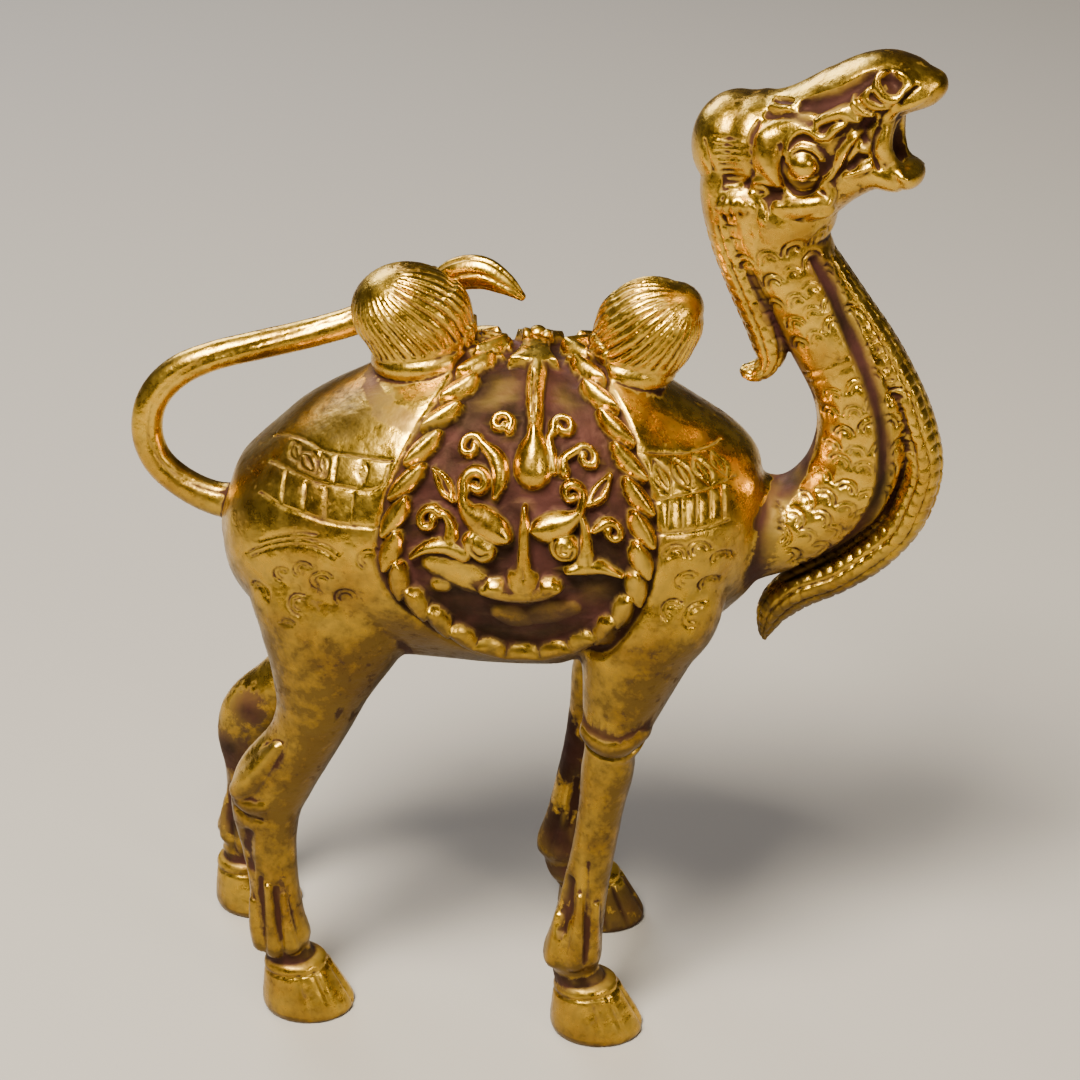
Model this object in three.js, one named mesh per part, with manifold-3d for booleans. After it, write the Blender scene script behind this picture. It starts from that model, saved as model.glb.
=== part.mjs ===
// A gilt cast figurine of a two-humped camel: one solid casting, head thrown back, tail looped up to the rear hump.
// Millimetres, +Z up, +X the way the camel faces, origin on the ground between the four hooves.
import * as THREE from "three";
import { mergeVertices } from "three/addons/utils/BufferGeometryUtils.js";
import Module from "manifold-3d";

const wasm = await Module();
wasm.setup();

// Driving dimensions.
const NEAR = -1; // the camel's right side, towards -Y
const FAR = 1;
const FORE_HOOF_Y = 8.9; // how far a fore hoof's centre stands from the middle plane
const HIND_HOOF_Y = 8.0;
const FAR_FORE_SHIFT = -2.3; // the far fore leg stands a little behind the near one
const GIRTH = 13.3; // one radian round the trunk, measured on the saddle cloth
const GOLD = 0xc79a3b;

// The trunk's stations, rump to chest: x, y, z, half-width across, half-height.
const TRUNK = [
  [-18.4, 0, 47.0, 1.6, 1.6],
  [-16.2, 0, 47.0, 7.2, 6.4],
  [-11, 0, 47.3, 10.9, 10.2],
  [-4, 0, 48.4, 12.6, 12.9],
  [4, 0, 49.7, 13.2, 14.6],
  [13, 0, 49.9, 13.2, 14.6],
  [19, 0, 49.0, 12.4, 12.6],
  [25, 0, 48.6, 9.8, 9.6],
  [28.6, 0, 48.2, 5.2, 6.2],
  [29.6, 0, 48.2, 1.4, 1.6],
];

// Neck, from inside the chest up to the back of the skull.
const NECK = [
  [22, 0, 47.5, 5.5, 6],
  [27, 0, 48.2, 5.2, 5.2],
  [32.2, 0, 49.1, 4.5, 4.0],
  [36.1, 0, 52.4, 4.3, 4.1],
  [37.7, 0, 57.2, 4.2, 4.1],
  [37.0, 0, 61.8, 4.1, 3.9],
  [34.6, 0, 66.4, 4.0, 3.8],
  [31.8, 0, 70.9, 4.1, 3.8],
  [29.2, 0, 76.0, 4.5, 4.4],
  [28.3, 0, 80.5, 4.9, 4.6],
];

// Skull and upper jaw to the lip, laid out straight ahead before the head is turned.
const SKULL = [
  [25.0, 0, 83.6, 3.4, 3.2],
  [27.2, 0, 83.0, 4.8, 4.2],
  [30.5, 0, 82.8, 5.0, 4.2],
  [33.4, 0, 84.4, 4.3, 3.8],
  [35.8, 0, 86.9, 3.7, 3.1],
  [37.8, 0, 88.4, 3.4, 2.6],
  [39.6, 0, 88.8, 3.1, 2.0],
  [41.2, 0, 88.3, 2.4, 1.4],
  [42.6, 0, 87.3, 1.1, 0.8],
];
const JAW = [
  [29.0, 0, 78.8, 3.8, 3.2],
  [32.0, 0, 79.5, 4.0, 3.0],
  [35.0, 0, 81.0, 3.4, 2.5],
  [37.6, 0, 81.6, 2.9, 1.9],
  [39.6, 0, 81.3, 2.6, 1.3],
  [41.2, 0, 81.3, 2.0, 0.9],
];
// The ridge over the eye and the cheekbone, on the camel's right; the left ones are their mirror images.
const BROW = [
  [31.0, -4.4, 83.4, 0.5, 0.6],
  [31.9, -4.8, 84.9, 0.6, 0.7],
  [33.0, -4.6, 85.8, 0.6, 0.7],
  [34.4, -4.1, 85.3, 0.6, 0.7],
  [35.9, -3.7, 86.4, 0.5, 0.6],
];
const CHEEKBONE = [
  [37.1, -3.2, 85.6, 0.4, 0.4],
  [36.1, -3.6, 84.2, 0.6, 0.6],
  [35.3, -3.9, 82.6, 0.7, 0.7],
  [34.4, -4.0, 80.9, 0.5, 0.5],
];
const HEAD_TURN = 18; // degrees towards the camel's right
const HEAD_PIVOT = [29.5, 0];

// The mane that hangs down the front of the neck and ends in a point at the chest.
const RUFF = [
  [32.7, 0, 75.6, 0.8, 0.5],
  [33.4, 0, 74.4, 1.5, 0.7],
  [34.9, 0, 72.0, 1.9, 0.9],
  [36.6, 0, 69.2, 2.1, 1.15],
  [38.6, 0, 66.0, 2.3, 1.4],
  [40.5, 0, 62.4, 2.5, 1.6],
  [42.1, 0, 58.5, 2.6, 1.75],
  [42.8, 0, 54.4, 2.7, 1.9],
  [41.7, 0, 50.2, 2.7, 2.0],
  [39.3, 0, 46.8, 2.6, 2.0],
  [36.2, 0, 44.4, 2.5, 2.0],
  [32.8, 0, 42.4, 2.2, 1.8],
  [30.9, 0, 40.2, 1.6, 1.4],
  [30.2, 0, 38.0, 0.7, 0.7],
  [30.1, 0, 37.0, 0.2, 0.2],
];

// The lock of hair down the nape, which ends in a hook turned back over the withers.
const NAPE = [
  [24.6, 0, 80, 3.0, 1.6],
  [25.5, 0, 75.5, 2.9, 1.7],
  [27.0, 0, 71.3, 2.6, 1.5],
  [28.4, 0, 67.5, 2.3, 1.3],
  [29.4, 0, 65.1, 2.1, 1.2],
  [29.3, 0, 63.7, 1.9, 1.0],
  [28.3, 0, 62.9, 1.6, 0.8],
  [26.9, 0, 62.9, 1.0, 0.5],
];

// The humps, from inside their collars to the top, leaning back and forward.
const REAR_HUMP = [
  [-0.1, 0, 60.6, 4.0, 4.0],
  [-0.1, 0, 62.6, 4.4, 4.4],
  [-0.4, 0, 64.8, 4.9, 4.9],
  [-0.9, 0, 67.0, 5.0, 5.1],
  [-1.3, 0, 69.0, 4.4, 4.5],
  [-1.7, 0, 70.5, 3.1, 3.2],
  [-1.9, 0, 71.2, 1.6, 1.6],
  [-1.9, 0, 71.4, 0.5, 0.5],
];
const FRONT_HUMP = [
  [17.1, 0, 60.6, 3.4, 3.2],
  [17.4, 0, 62.4, 3.7, 3.5],
  [18.0, 0, 64.5, 4.1, 4.1],
  [18.8, 0, 66.6, 4.3, 4.2],
  [19.5, 0, 68.6, 3.9, 3.8],
  [20.1, 0, 69.9, 2.8, 2.8],
  [20.3, 0, 70.6, 1.4, 1.5],
  [20.4, 0, 70.8, 0.4, 0.5],
];

// The tail leaves the rump, loops up and forward, and lies along the far side of the rear hump.
const TAIL = [
  [-15.5, 0, 48.6, 1.9, 1.9],
  [-18.8, 0.2, 48.6, 1.5, 1.6],
  [-21.8, 0.4, 49.8, 1.3, 1.4],
  [-24.2, 0.6, 51.9, 1.3, 1.4],
  [-25.1, 0.8, 54.7, 1.3, 1.4],
  [-24.4, 1.0, 57.8, 1.3, 1.4],
  [-22.2, 1.4, 60.2, 1.3, 1.4],
  [-19.0, 2.0, 61.6, 1.3, 1.3],
  [-14.8, 3.2, 62.4, 1.3, 1.3],
  [-10.2, 4.6, 63.2, 1.3, 1.3],
  [-6.0, 5.6, 64.4, 1.3, 1.3],
  [-2.0, 5.8, 66.8, 1.3, 1.3],
  [1.2, 5.2, 68.6, 1.2, 1.4],
  [4.4, 4.2, 69.1, 1.0, 1.3],
  [7.5, 3.2, 67.7, 0.4, 0.4],
];

// Fore leg: x, y measured outwards from the middle plane, z, half-width across, half-length.
const FORE_LEG = [
  [20.2, 5.0, 50, 4.2, 5.2],
  [20.3, 7.0, 44.5, 4.9, 6.2],
  [19.2, 7.6, 40.4, 4.4, 5.0],
  [18.3, 8.0, 36.4, 3.7, 3.9],
  [17.6, 8.2, 33.2, 3.1, 3.1],
  [17.2, 8.3, 31.0, 2.7, 2.6],
  [17.0, 8.3, 29.8, 2.2, 2.2],
];
const FORE_SHIN = [
  [17.0, 8.3, 31.5, 1.9, 2.0],
  [16.8, 8.4, 28.2, 2.1, 2.3],
  [16.3, 8.5, 24.4, 1.9, 2.05],
  [15.7, 8.6, 20.0, 1.8, 1.95],
  [15.0, 8.7, 15.8, 1.85, 2.05],
  [14.3, 8.8, 11.4, 2.1, 2.3],
  [13.8, 8.9, 8.0, 2.4, 2.7],
  [13.9, 8.9, 6.2, 2.0, 2.2],
  [14.5, 8.9, 4.0, 1.6, 1.9],
];

// Near hind leg, thigh to fetlock.
const NEAR_HIND_LEG = [
  [-6.0, 4.2, 50, 4.6, 6.4],
  [-7.0, 6.4, 43.6, 5.6, 8.2],
  [-7.9, 7.2, 38.8, 4.8, 6.2],
  [-8.6, 7.6, 35.4, 4.0, 4.6],
  [-9.4, 7.8, 32.0, 3.3, 3.5],
  [-10.9, 7.9, 28.6, 2.8, 3.1],
  [-13.4, 7.9, 24.8, 2.6, 3.5],
  [-14.3, 8.0, 22.0, 2.3, 3.2],
  [-14.3, 8.0, 18.0, 1.9, 2.6],
  [-14.0, 8.0, 13.6, 1.85, 2.3],
  [-13.9, 8.0, 9.6, 2.2, 2.6],
  [-13.5, 8.0, 7.2, 2.4, 2.7],
  [-13.2, 8.0, 5.6, 2.0, 2.2],
  [-12.6, 8.0, 4.0, 1.6, 1.9],
];

// Far hind leg, which stands further back with its hock lower.
const FAR_HIND_LEG = [
  [-6.2, 4.2, 50, 4.6, 6.2],
  [-7.8, 6.4, 43.6, 5.6, 7.6],
  [-9.4, 7.2, 38.8, 4.8, 5.6],
  [-10.6, 7.6, 35.0, 4.0, 4.4],
  [-11.9, 7.8, 31.4, 3.3, 3.6],
  [-13.4, 7.9, 28.0, 2.9, 3.1],
  [-15.4, 7.9, 25.4, 2.7, 3.1],
  [-18.2, 7.9, 22.4, 2.5, 3.4],
  [-19.3, 8.0, 19.6, 2.3, 3.1],
  [-19.4, 8.0, 16.0, 1.9, 2.5],
  [-19.7, 8.0, 12.0, 1.85, 2.3],
  [-20.5, 8.0, 8.4, 2.2, 2.6],
  [-21.0, 8.0, 6.4, 2.3, 2.6],
  [-20.8, 8.0, 5.0, 1.9, 2.1],
  [-20.4, 8.0, 4.0, 1.6, 1.9],
];

// The saddle cloth's edge on one side, as [x, distance round the trunk from the spine].
const CLOTH_EDGE = [
  [6.3, -0.4],
  [4.5, 4.4],
  [1.7, 9.9],
  [-0.6, 14.7],
  [-1.3, 19.6],
  [-0.2, 22.9],
  [3.7, 27.8],
  [8.3, 30.5],
  [13.3, 29.6],
  [17.6, 25.3],
  [19.5, 19.8],
  [19.1, 13.5],
  [16.7, 8.0],
  [14.2, 3.6],
  [12.8, -0.4],
];
const ROPE_STRANDS = 26; // on each side
const STRAND_HALF_LENGTH = 1.75;
const STRAND_LEAN = 0.42; // how much of its length a strand is laid across the edge
const RELIEF_LIFT = 0.3; // how far the middle of a line of relief lies above the trunk

// The beast mask on the cloth, in the same coordinates: lines as [x, distance round, half-width].
const PENDANT = [
  [9.4, 1.8, 0.8],
  [9.8, 6.5, 0.75],
  [10.2, 10.5, 0.8],
  [10.4, 12.8, 1.5],
  [10.6, 14.6, 0.5],
];
const NOSE = [
  [9.9, 16.2, 0.4],
  [9.9, 19.5, 0.6],
  [9.8, 22.6, 1.0],
];
const NOSTRILS = [
  [6.5, 22.6, 0.6],
  [9.8, 23.6, 1.0],
  [12.6, 23.0, 0.6],
];
const REAR_CHEEK = [
  [0.6, 19.2, 0.4],
  [3.2, 19.0, 0.8],
  [5.6, 21.0, 0.7],
];
const FRONT_CHEEK = [
  [13.4, 20.8, 0.7],
  [15.3, 20.0, 0.8],
  [17.6, 20.5, 0.4],
];
const REAR_BROW = [
  [6.8, 13.3, 0.5],
  [5.3, 14.9, 0.7],
  [7.0, 17.2, 0.9],
  [8.3, 18.6, 0.9],
];
const FRONT_BROW = [
  [13.2, 13.9, 0.5],
  [14.8, 15.2, 0.7],
  [13.6, 17.2, 0.9],
  [12.4, 18.4, 0.9],
];
// Curls, as [x, distance round, radius, hand, the angle at which the outer end starts].
const CURLS = [
  [7.5, 9.5, 1.1, 1, 250],
  [12.9, 9.5, 1.1, -1, 290],
  [5.0, 11.8, 1.15, 1, 300],
  [14.8, 11.8, 1.1, -1, 240],
  [1.8, 16.9, 1.2, 1, 330],
  [17.2, 17.0, 1.2, -1, 210],
];
// Pointed leaf ears, as [x, distance round, lean in degrees].
const LEAF_EARS = [
  [2.9, 14.2, -32],
  [16.3, 13.9, 30],
];
const LEAF_HALF_LENGTH = 1.7;

// A hoof from its flat sole up, as [radius, height]. It is longer than wide and leans back.
const HOOF_PROFILE = [
  [0, 0],
  [4.1, 0],
  [4.2, 0.7],
  [3.6, 2.6],
  [3.0, 4.8],
  [2.2, 5.4],
  [0, 5.4],
];
const HOOF_LENGTHEN = 1.03;
const HOOF_NARROW = 0.86;
const HOOF_LEAN = 0.22;

// Turns a closed three.js geometry into a manifold solid.
function solid(geometry) {
  const bare = geometry.clone();
  bare.deleteAttribute("normal");
  bare.deleteAttribute("uv");
  const merged = mergeVertices(bare, 1e-4);
  return new wasm.Manifold(
    new wasm.Mesh({
      numProp: 3,
      vertProperties: new Float32Array(merged.attributes.position.array),
      triVerts: new Uint32Array(merged.index.array),
    }),
  );
}

// Joins a list of solids.
function join(solids) {
  return solids.reduce((all, next) => all.add(next));
}

// A smooth reading of a station list at t from 0 to 1: position, the two half-widths and the tangent.
function along(stations) {
  const path = new THREE.CatmullRomCurve3(stations.map(([x, y, z]) => new THREE.Vector3(x, y, z)));
  const girth = new THREE.CatmullRomCurve3(stations.map(([, , , a, b]) => new THREE.Vector3(a, b, 0)));
  return (t) => ({
    at: path.getPoint(t),
    wide: girth.getPoint(t).x,
    deep: girth.getPoint(t).y,
    way: path.getTangent(t),
  });
}

// A limb: a closed cylinder whose rings are moved onto a curve and scaled to its stations. Its ends are rounded
// over a share of its length, and shape(t, angle) can scale each radius, for flutes and locks.
function limb(stations, sides, steps, { round = [0.04, 0.04], side = new THREE.Vector3(0, 1, 0), shape } = {}) {
  const read = along(stations);
  const geometry = new THREE.CylinderGeometry(1, 1, 1, sides, steps);
  const position = geometry.attributes.position;
  const point = new THREE.Vector3();
  for (let i = 0; i < position.count; i++) {
    point.fromBufferAttribute(position, i);
    const t = THREE.MathUtils.clamp(0.5 - point.y, 0, 1);
    const { at, wide, deep, way } = read(t);
    const across = side.clone().addScaledVector(way, -side.dot(way)).normalize();
    const out = new THREE.Vector3().crossVectors(way, across).normalize();
    const angle = Math.atan2(point.z, point.x);
    const scale = endScale(t, round) * (shape ? shape(t, angle) : 1);
    at.addScaledVector(across, point.x * wide * scale).addScaledVector(out, point.z * deep * scale);
    position.setXYZ(i, at.x, at.y, at.z);
  }
  return facingOut(solid(geometry), geometry);
}

// How much a ring shrinks near a limb's rounded ends.
function endScale(t, [first, last]) {
  const nearEnd = Math.min(first ? t / first : 1, last ? (1 - t) / last : 1, 1);
  return 0.35 + 0.65 * Math.sqrt(1 - (1 - nearEnd) ** 2);
}

// Turns a solid's faces round if the moved rings left them pointing in.
function facingOut(made, geometry) {
  if (made.volume() > 0) return made;
  const index = geometry.index;
  for (let i = 0; i < index.count; i += 3) {
    const second = index.getX(i + 1);
    index.setX(i + 1, index.getX(i + 2));
    index.setX(i + 2, second);
  }
  return solid(geometry);
}

// A stretched ball: centre, half-sizes, and turns about X, Y and Z in degrees.
function ball(centre, halves, turns = [0, 0, 0], detail = [12, 8]) {
  const geometry = new THREE.SphereGeometry(1, ...detail);
  const turn = new THREE.Euler(...turns.map(THREE.MathUtils.degToRad));
  geometry.applyMatrix4(
    new THREE.Matrix4().compose(
      new THREE.Vector3(...centre),
      new THREE.Quaternion().setFromEuler(turn),
      new THREE.Vector3(...halves),
    ),
  );
  return solid(geometry);
}

// A point on the trunk's skin: x along it, v round it from the spine (positive on the near side), lifted by lift.
const readTrunk = along(TRUNK);
const trunkSlices = Array.from({ length: 201 }, (_, i) => readTrunk(i / 200));
function onTrunk(x, v, lift = 0) {
  const slice = trunkSlices.reduce((best, s) => (Math.abs(s.at.x - x) < Math.abs(best.at.x - x) ? s : best));
  const angle = v / GIRTH;
  return new THREE.Vector3(
    x,
    -(slice.wide + lift) * Math.sin(angle),
    slice.at.z + (slice.deep + lift) * Math.cos(angle),
  );
}

// Legs and hooves for one side.
function legs(side, foreShift, foreHoofX, hindLeg, hindHoofX) {
  const stand = (stations, shift) => stations.map(([x, y, z, a, b]) => [x + shift, side * y, z, a, b]);
  return [
    limb(stand(FORE_LEG, foreShift), 10, 7, { round: [0.12, 0.04] }),
    limb(stand(FORE_SHIN, foreShift), 8, 9),
    limb(stand(hindLeg, 0), 10, 15, { round: [0.08, 0.04] }),
    hoof(foreHoofX, side * FORE_HOOF_Y),
    hoof(hindHoofX, side * HIND_HOOF_Y),
  ];
}

// A bell-shaped hoof on its flat sole.
function hoof(x, y) {
  const profile = HOOF_PROFILE.map(([radius, height]) => new THREE.Vector2(radius, height));
  const geometry = new THREE.LatheGeometry(profile, 12);
  geometry.rotateX(Math.PI / 2);
  const position = geometry.attributes.position;
  for (let i = 0; i < position.count; i++) {
    position.setX(i, position.getX(i) * HOOF_LENGTHEN - HOOF_LEAN * position.getZ(i));
    position.setY(i, position.getY(i) * HOOF_NARROW);
  }
  geometry.translate(x, y, 0);
  return facingOut(solid(geometry), geometry);
}

// A hump of hair: stations from its collar to its rounded top, with shallow locks round it.
function hump(stations) {
  const locks = (t, angle) => 1 + 0.035 * Math.cos(10 * angle + 3 * t);
  return limb(stations, 20, 6, { round: [0, 0], shape: locks });
}

// A closed ring of round section that follows an ellipse tilted in the middle plane.
function collar(centre, halfWide, halfLong, tilt, thick) {
  const geometry = new THREE.TorusGeometry(1, 0.5, 5, 16);
  const position = geometry.attributes.position;
  const point = new THREE.Vector3();
  for (let i = 0; i < position.count; i++) {
    point.fromBufferAttribute(position, i);
    const radius = Math.hypot(point.x, point.y);
    const grow = 1 + ((radius - 1) * thick * 2) / halfLong;
    const flat = new THREE.Vector3(point.x / radius, point.y / radius, 0);
    position.setXYZ(i, flat.x * halfLong * grow, flat.y * halfWide * grow, point.z * thick * 2);
  }
  geometry.rotateY(THREE.MathUtils.degToRad(tilt));
  geometry.translate(...centre);
  return solid(geometry);
}

// A leaf-shaped strand or leaf lying on the trunk between two sheet points.
function lyingLeaf(from, to, halfWide, halfHigh, lift, detail = [5, 3]) {
  const [a, b] = [from, to].map(([u, v]) => onTrunk(u, v, lift));
  const middle = a.clone().add(b).multiplyScalar(0.5);
  const way = b.clone().sub(a);
  const halfLong = way.length() / 2;
  way.normalize();
  const [u, v] = [(from[0] + to[0]) / 2, (from[1] + to[1]) / 2];
  const rise = onTrunk(u, v, 1).sub(onTrunk(u, v, 0)).normalize();
  const across = new THREE.Vector3().crossVectors(rise, way).normalize();
  const up = new THREE.Vector3().crossVectors(way, across).normalize();
  const geometry = new THREE.SphereGeometry(1, ...detail);
  geometry.applyMatrix4(
    new THREE.Matrix4().makeBasis(
      across.multiplyScalar(halfWide),
      way.multiplyScalar(halfLong),
      up.multiplyScalar(halfHigh),
    ),
  );
  geometry.translate(middle.x, middle.y, middle.z);
  return facingOut(solid(geometry), geometry);
}

// The twisted rope round the cloth: one strand after another, each laid a little across the edge.
function rope(side) {
  const edge = new THREE.CatmullRomCurve3(CLOTH_EDGE.map(([u, v]) => new THREE.Vector3(u, v, 0)));
  return Array.from({ length: ROPE_STRANDS }, (_, i) => {
    const at = edge.getPointAt((i + 0.5) / ROPE_STRANDS);
    const way = edge.getTangentAt((i + 0.5) / ROPE_STRANDS);
    const lean = new THREE.Vector3(way.y, -way.x, 0).multiplyScalar(STRAND_LEAN).add(way).normalize();
    const from = at.clone().addScaledVector(lean, -STRAND_HALF_LENGTH);
    const to = at.clone().addScaledVector(lean, STRAND_HALF_LENGTH);
    return lyingLeaf([from.x, -side * from.y], [to.x, -side * to.y], 0.85, 1.0, 0.25);
  });
}

// A round-sectioned line of relief lying on the trunk through sheet points [u, v, half-width].
function lyingLine(points, side, sides, steps) {
  const stations = points.map(([u, v, r]) => {
    const { x, y, z } = onTrunk(u, -side * v, RELIEF_LIFT);
    return [x, y, z, r, r];
  });
  return limb(stations, sides, steps, { round: [0.1, 0.1], side: new THREE.Vector3(0.1, side, 0.3) });
}

// One curl: a line that winds one turn inwards.
function curl([u, v, radius, hand, start], side) {
  const turns = Array.from({ length: 7 }, (_, i) => {
    const angle = THREE.MathUtils.degToRad(start - hand * i * 60);
    const reach = radius * (1 - 0.085 * i);
    return [u + reach * Math.cos(angle), v - reach * Math.sin(angle), 0.46 - 0.02 * i];
  });
  return lyingLine(turns, side, 4, 7);
}

// A leaf ear, flat on the cloth and leaning outwards.
function leafEar([u, v, lean], side) {
  const angle = THREE.MathUtils.degToRad(lean);
  const [du, dv] = [LEAF_HALF_LENGTH * Math.sin(angle), LEAF_HALF_LENGTH * Math.cos(angle)];
  return lyingLeaf([u - du, -side * (v + dv)], [u + du, -side * (v - dv)], 0.8, 0.75, 0.25);
}

// The beast mask: pendant, nose with its nostril bar, cheeks, bulging brows, curls and leaf ears.
function mask(side) {
  return [
    lyingLine(PENDANT, side, 6, 8),
    lyingLine(NOSE, side, 5, 4),
    lyingLine(NOSTRILS, side, 6, 4),
    ...[REAR_CHEEK, FRONT_CHEEK].map((line) => lyingLine(line, side, 5, 4)),
    ...[REAR_BROW, FRONT_BROW].map((line) => lyingLine(line, side, 5, 6)),
    ...CURLS.map((one) => curl(one, side)),
    ...LEAF_EARS.map((one) => leafEar(one, side)),
  ];
}

// The head, from skull to lips, with the mouth thrown open.
function head() {
  const core = [
    limb(SKULL, 12, 11),
    limb(JAW, 10, 7),
    ball([36.6, 0, 84.4], [3.2, 3.3, 4.4], [0, 0, 0], [10, 6]),
    ball([25.9, 0, 82.8], [3.7, 4.4, 4.3], [0, 0, 0], [10, 6]),
  ];
  const features = [NEAR, FAR].flatMap((side) => {
    const mirrored = (stations) => stations.map(([x, y, z, a, b]) => [x, -side * y, z, a, b]);
    return [
      limb(mirrored(BROW), 5, 7),
      limb(mirrored(CHEEKBONE), 5, 5),
      ball([32.7, side * 4.3, 82.9], [1.4, 1.1, 1.4], [0, 0, 0], [7, 4]),
      ball([30.3, side * 4.0, 84.4], [1.9, 1.4, 1.8], [0, 0, 0], [7, 4]),
      ball([29.1, side * 4.3, 78.9], [0.8, 0.8, 2.0], [0, -20, 0], [7, 4]),
      ball([38.9, side * 2.5, 89.3], [1.5, 1.0, 1.1], [0, -30, 0], [7, 4]),
    ];
  });
  const mouth = ball([42.4, 0, 85.0], [4.4, 2.6, 2.9], [0, -8, 0]);
  const geometry = geometryOf(join([...core, ...features]).subtract(mouth));
  const [x, y] = HEAD_PIVOT;
  geometry.translate(-x, -y, 0);
  geometry.rotateZ(-THREE.MathUtils.degToRad(HEAD_TURN));
  geometry.translate(x, y, 0);
  return solid(geometry);
}

const trunk = limb(TRUNK, 20, 14, { round: [0, 0] });
const pieces = [
  trunk,
  limb(NECK, 12, 12, { round: [0, 0.06] }),
  limb(RUFF, 6, 16),
  limb(NAPE, 6, 10),
  limb(TAIL, 6, 24),
  hump(REAR_HUMP),
  hump(FRONT_HUMP),
  collar([0, 0, 63.8], 4.3, 4.5, -14, 0.75),
  collar([17.6, 0, 63.4], 3.8, 3.6, 10, 0.75),
  ...legs(NEAR, 0, 16.2, NEAR_HIND_LEG, -11.2),
  ...legs(FAR, FAR_FORE_SHIFT, 15.3, FAR_HIND_LEG, -19.2),
  head(),
  ...rope(NEAR),
  ...rope(FAR),
  ...mask(NEAR),
];
const cast = join(pieces);

// Back to a three.js geometry.
function geometryOf(made) {
  const mesh = made.getMesh();
  const positions = new Float32Array(mesh.numVert * 3);
  for (let i = 0; i < mesh.numVert; i++) {
    positions.set(mesh.vertProperties.subarray(i * mesh.numProp, i * mesh.numProp + 3), i * 3);
  }
  const geometry = new THREE.BufferGeometry();
  geometry.setAttribute("position", new THREE.BufferAttribute(positions, 3));
  geometry.setIndex(new THREE.BufferAttribute(new Uint32Array(mesh.triVerts), 1));
  geometry.computeVertexNormals();
  return geometry;
}

const camel = new THREE.Mesh(
  geometryOf(cast),
  new THREE.MeshStandardMaterial({ color: GOLD, roughness: 0.3, metalness: 1 }),
);
camel.name = "camel";

// The finished casting is moved so that the middle of its bounding box stands over the origin.
const bounds = new THREE.Box3().setFromObject(camel);
const middle = bounds.getCenter(new THREE.Vector3());
camel.geometry.translate(-middle.x, -middle.y, -bounds.min.z);

const figurine = new THREE.Group();
figurine.add(camel);

export default figurine;
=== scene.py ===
# %% [markdown]
# # A gilt camel tea pet, cast in one piece
# A tea pet is a small figure that stands on the tea tray. This one is a two-humped camel of cast metal with fire
# gilding, about 9 cm tall, its head thrown back and its tail looped up to the rear hump.
# The lesson starts by loading the plain solid from model.glb. Everything we model is laid over
# it, in the same frame and in metres, so nothing has to be fitted afterwards.

# %% Load the frame
import math

import bmesh
import bpy
import numpy as np
from mathutils import Matrix, Vector


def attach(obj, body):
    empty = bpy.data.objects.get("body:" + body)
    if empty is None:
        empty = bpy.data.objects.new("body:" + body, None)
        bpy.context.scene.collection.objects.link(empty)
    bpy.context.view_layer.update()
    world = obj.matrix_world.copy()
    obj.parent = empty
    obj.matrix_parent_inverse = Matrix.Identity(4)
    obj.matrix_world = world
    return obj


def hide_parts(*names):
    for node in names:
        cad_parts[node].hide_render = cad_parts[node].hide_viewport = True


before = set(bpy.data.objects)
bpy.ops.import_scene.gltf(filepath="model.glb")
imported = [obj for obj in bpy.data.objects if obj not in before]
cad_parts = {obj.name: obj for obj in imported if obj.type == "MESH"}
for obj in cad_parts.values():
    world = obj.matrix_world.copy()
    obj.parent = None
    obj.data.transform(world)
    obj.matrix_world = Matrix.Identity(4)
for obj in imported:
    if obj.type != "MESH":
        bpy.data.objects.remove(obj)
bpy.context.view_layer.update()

# %% [markdown]
# ## Where the figure stands
# We model in millimetres from a point on the ground between the four hooves, because hand sizes are easier to
# read that way. One matrix at the end scales the casting to metres and moves it to the frame's origin, which is
# the middle of its own box.

# %% From modelling millimetres to the frame
NEAR = -1  # the camel's right side, towards -Y, which the camera sees
FAR = 1
TO_FRAME = Matrix.Scale(0.001, 4) @ Matrix.Translation((-9.10, 0.186, 0))

# %% [markdown]
# ## The camera, the floor and the light
# The camera looks down at the near side from above and a little from the front, with a long lens. The floor is a
# plain pale sheet. Gold is a mirror with a tint, so it shows its surroundings more than its own colour: one large
# soft lamp overhead gives the long highlights, two dim ones lift the sides, and a darker room behind them keeps the
# deep brown reflections that make gold look like metal.

# %% Camera, floor and lamps
CAMERA_AT = Vector((19.066, -189.245, 140.976)) * 0.001
LOOK_DOWN = math.radians(26.527)
LOOK_ASIDE = math.radians(5.5)
right = Vector((math.cos(LOOK_ASIDE), math.sin(LOOK_ASIDE), 0))
forward = Vector((
    -math.sin(LOOK_ASIDE) * math.cos(LOOK_DOWN),
    math.cos(LOOK_ASIDE) * math.cos(LOOK_DOWN),
    -math.sin(LOOK_DOWN),
))
camera = bpy.data.objects.new("camera", bpy.data.cameras.new("camera"))
camera.data.lens = 80
camera.data.sensor_width = 36
camera.data.clip_start = 0.01
axes = Matrix((right, right.cross(forward), -forward)).transposed()
camera.matrix_world = Matrix.Translation(CAMERA_AT) @ axes.to_4x4()
bpy.context.scene.collection.objects.link(camera)
bpy.context.scene.camera = camera


def linear(hex_colour):
    """An sRGB hex colour as the linear values that Blender's sockets take."""
    parts = [int(hex_colour[i:i + 2], 16) / 255 for i in (1, 3, 5)]
    return tuple(c / 12.92 if c <= 0.04045 else ((c + 0.055) / 1.055) ** 2.4 for c in parts) + (1.0,)


def lamp(name, place, size, watts, colour):
    """A square soft lamp that faces the middle of the camel."""
    light = bpy.data.lights.new(name, "AREA")
    light.shape = "SQUARE"
    light.size = size
    light.energy = watts
    light.color = linear(colour)[:3]
    made = bpy.data.objects.new(name, light)
    made.location = place
    made.rotation_euler = (Vector((0, 0, 0.05)) - Vector(place)).to_track_quat("-Z", "Y").to_euler()
    bpy.context.scene.collection.objects.link(made)


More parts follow.
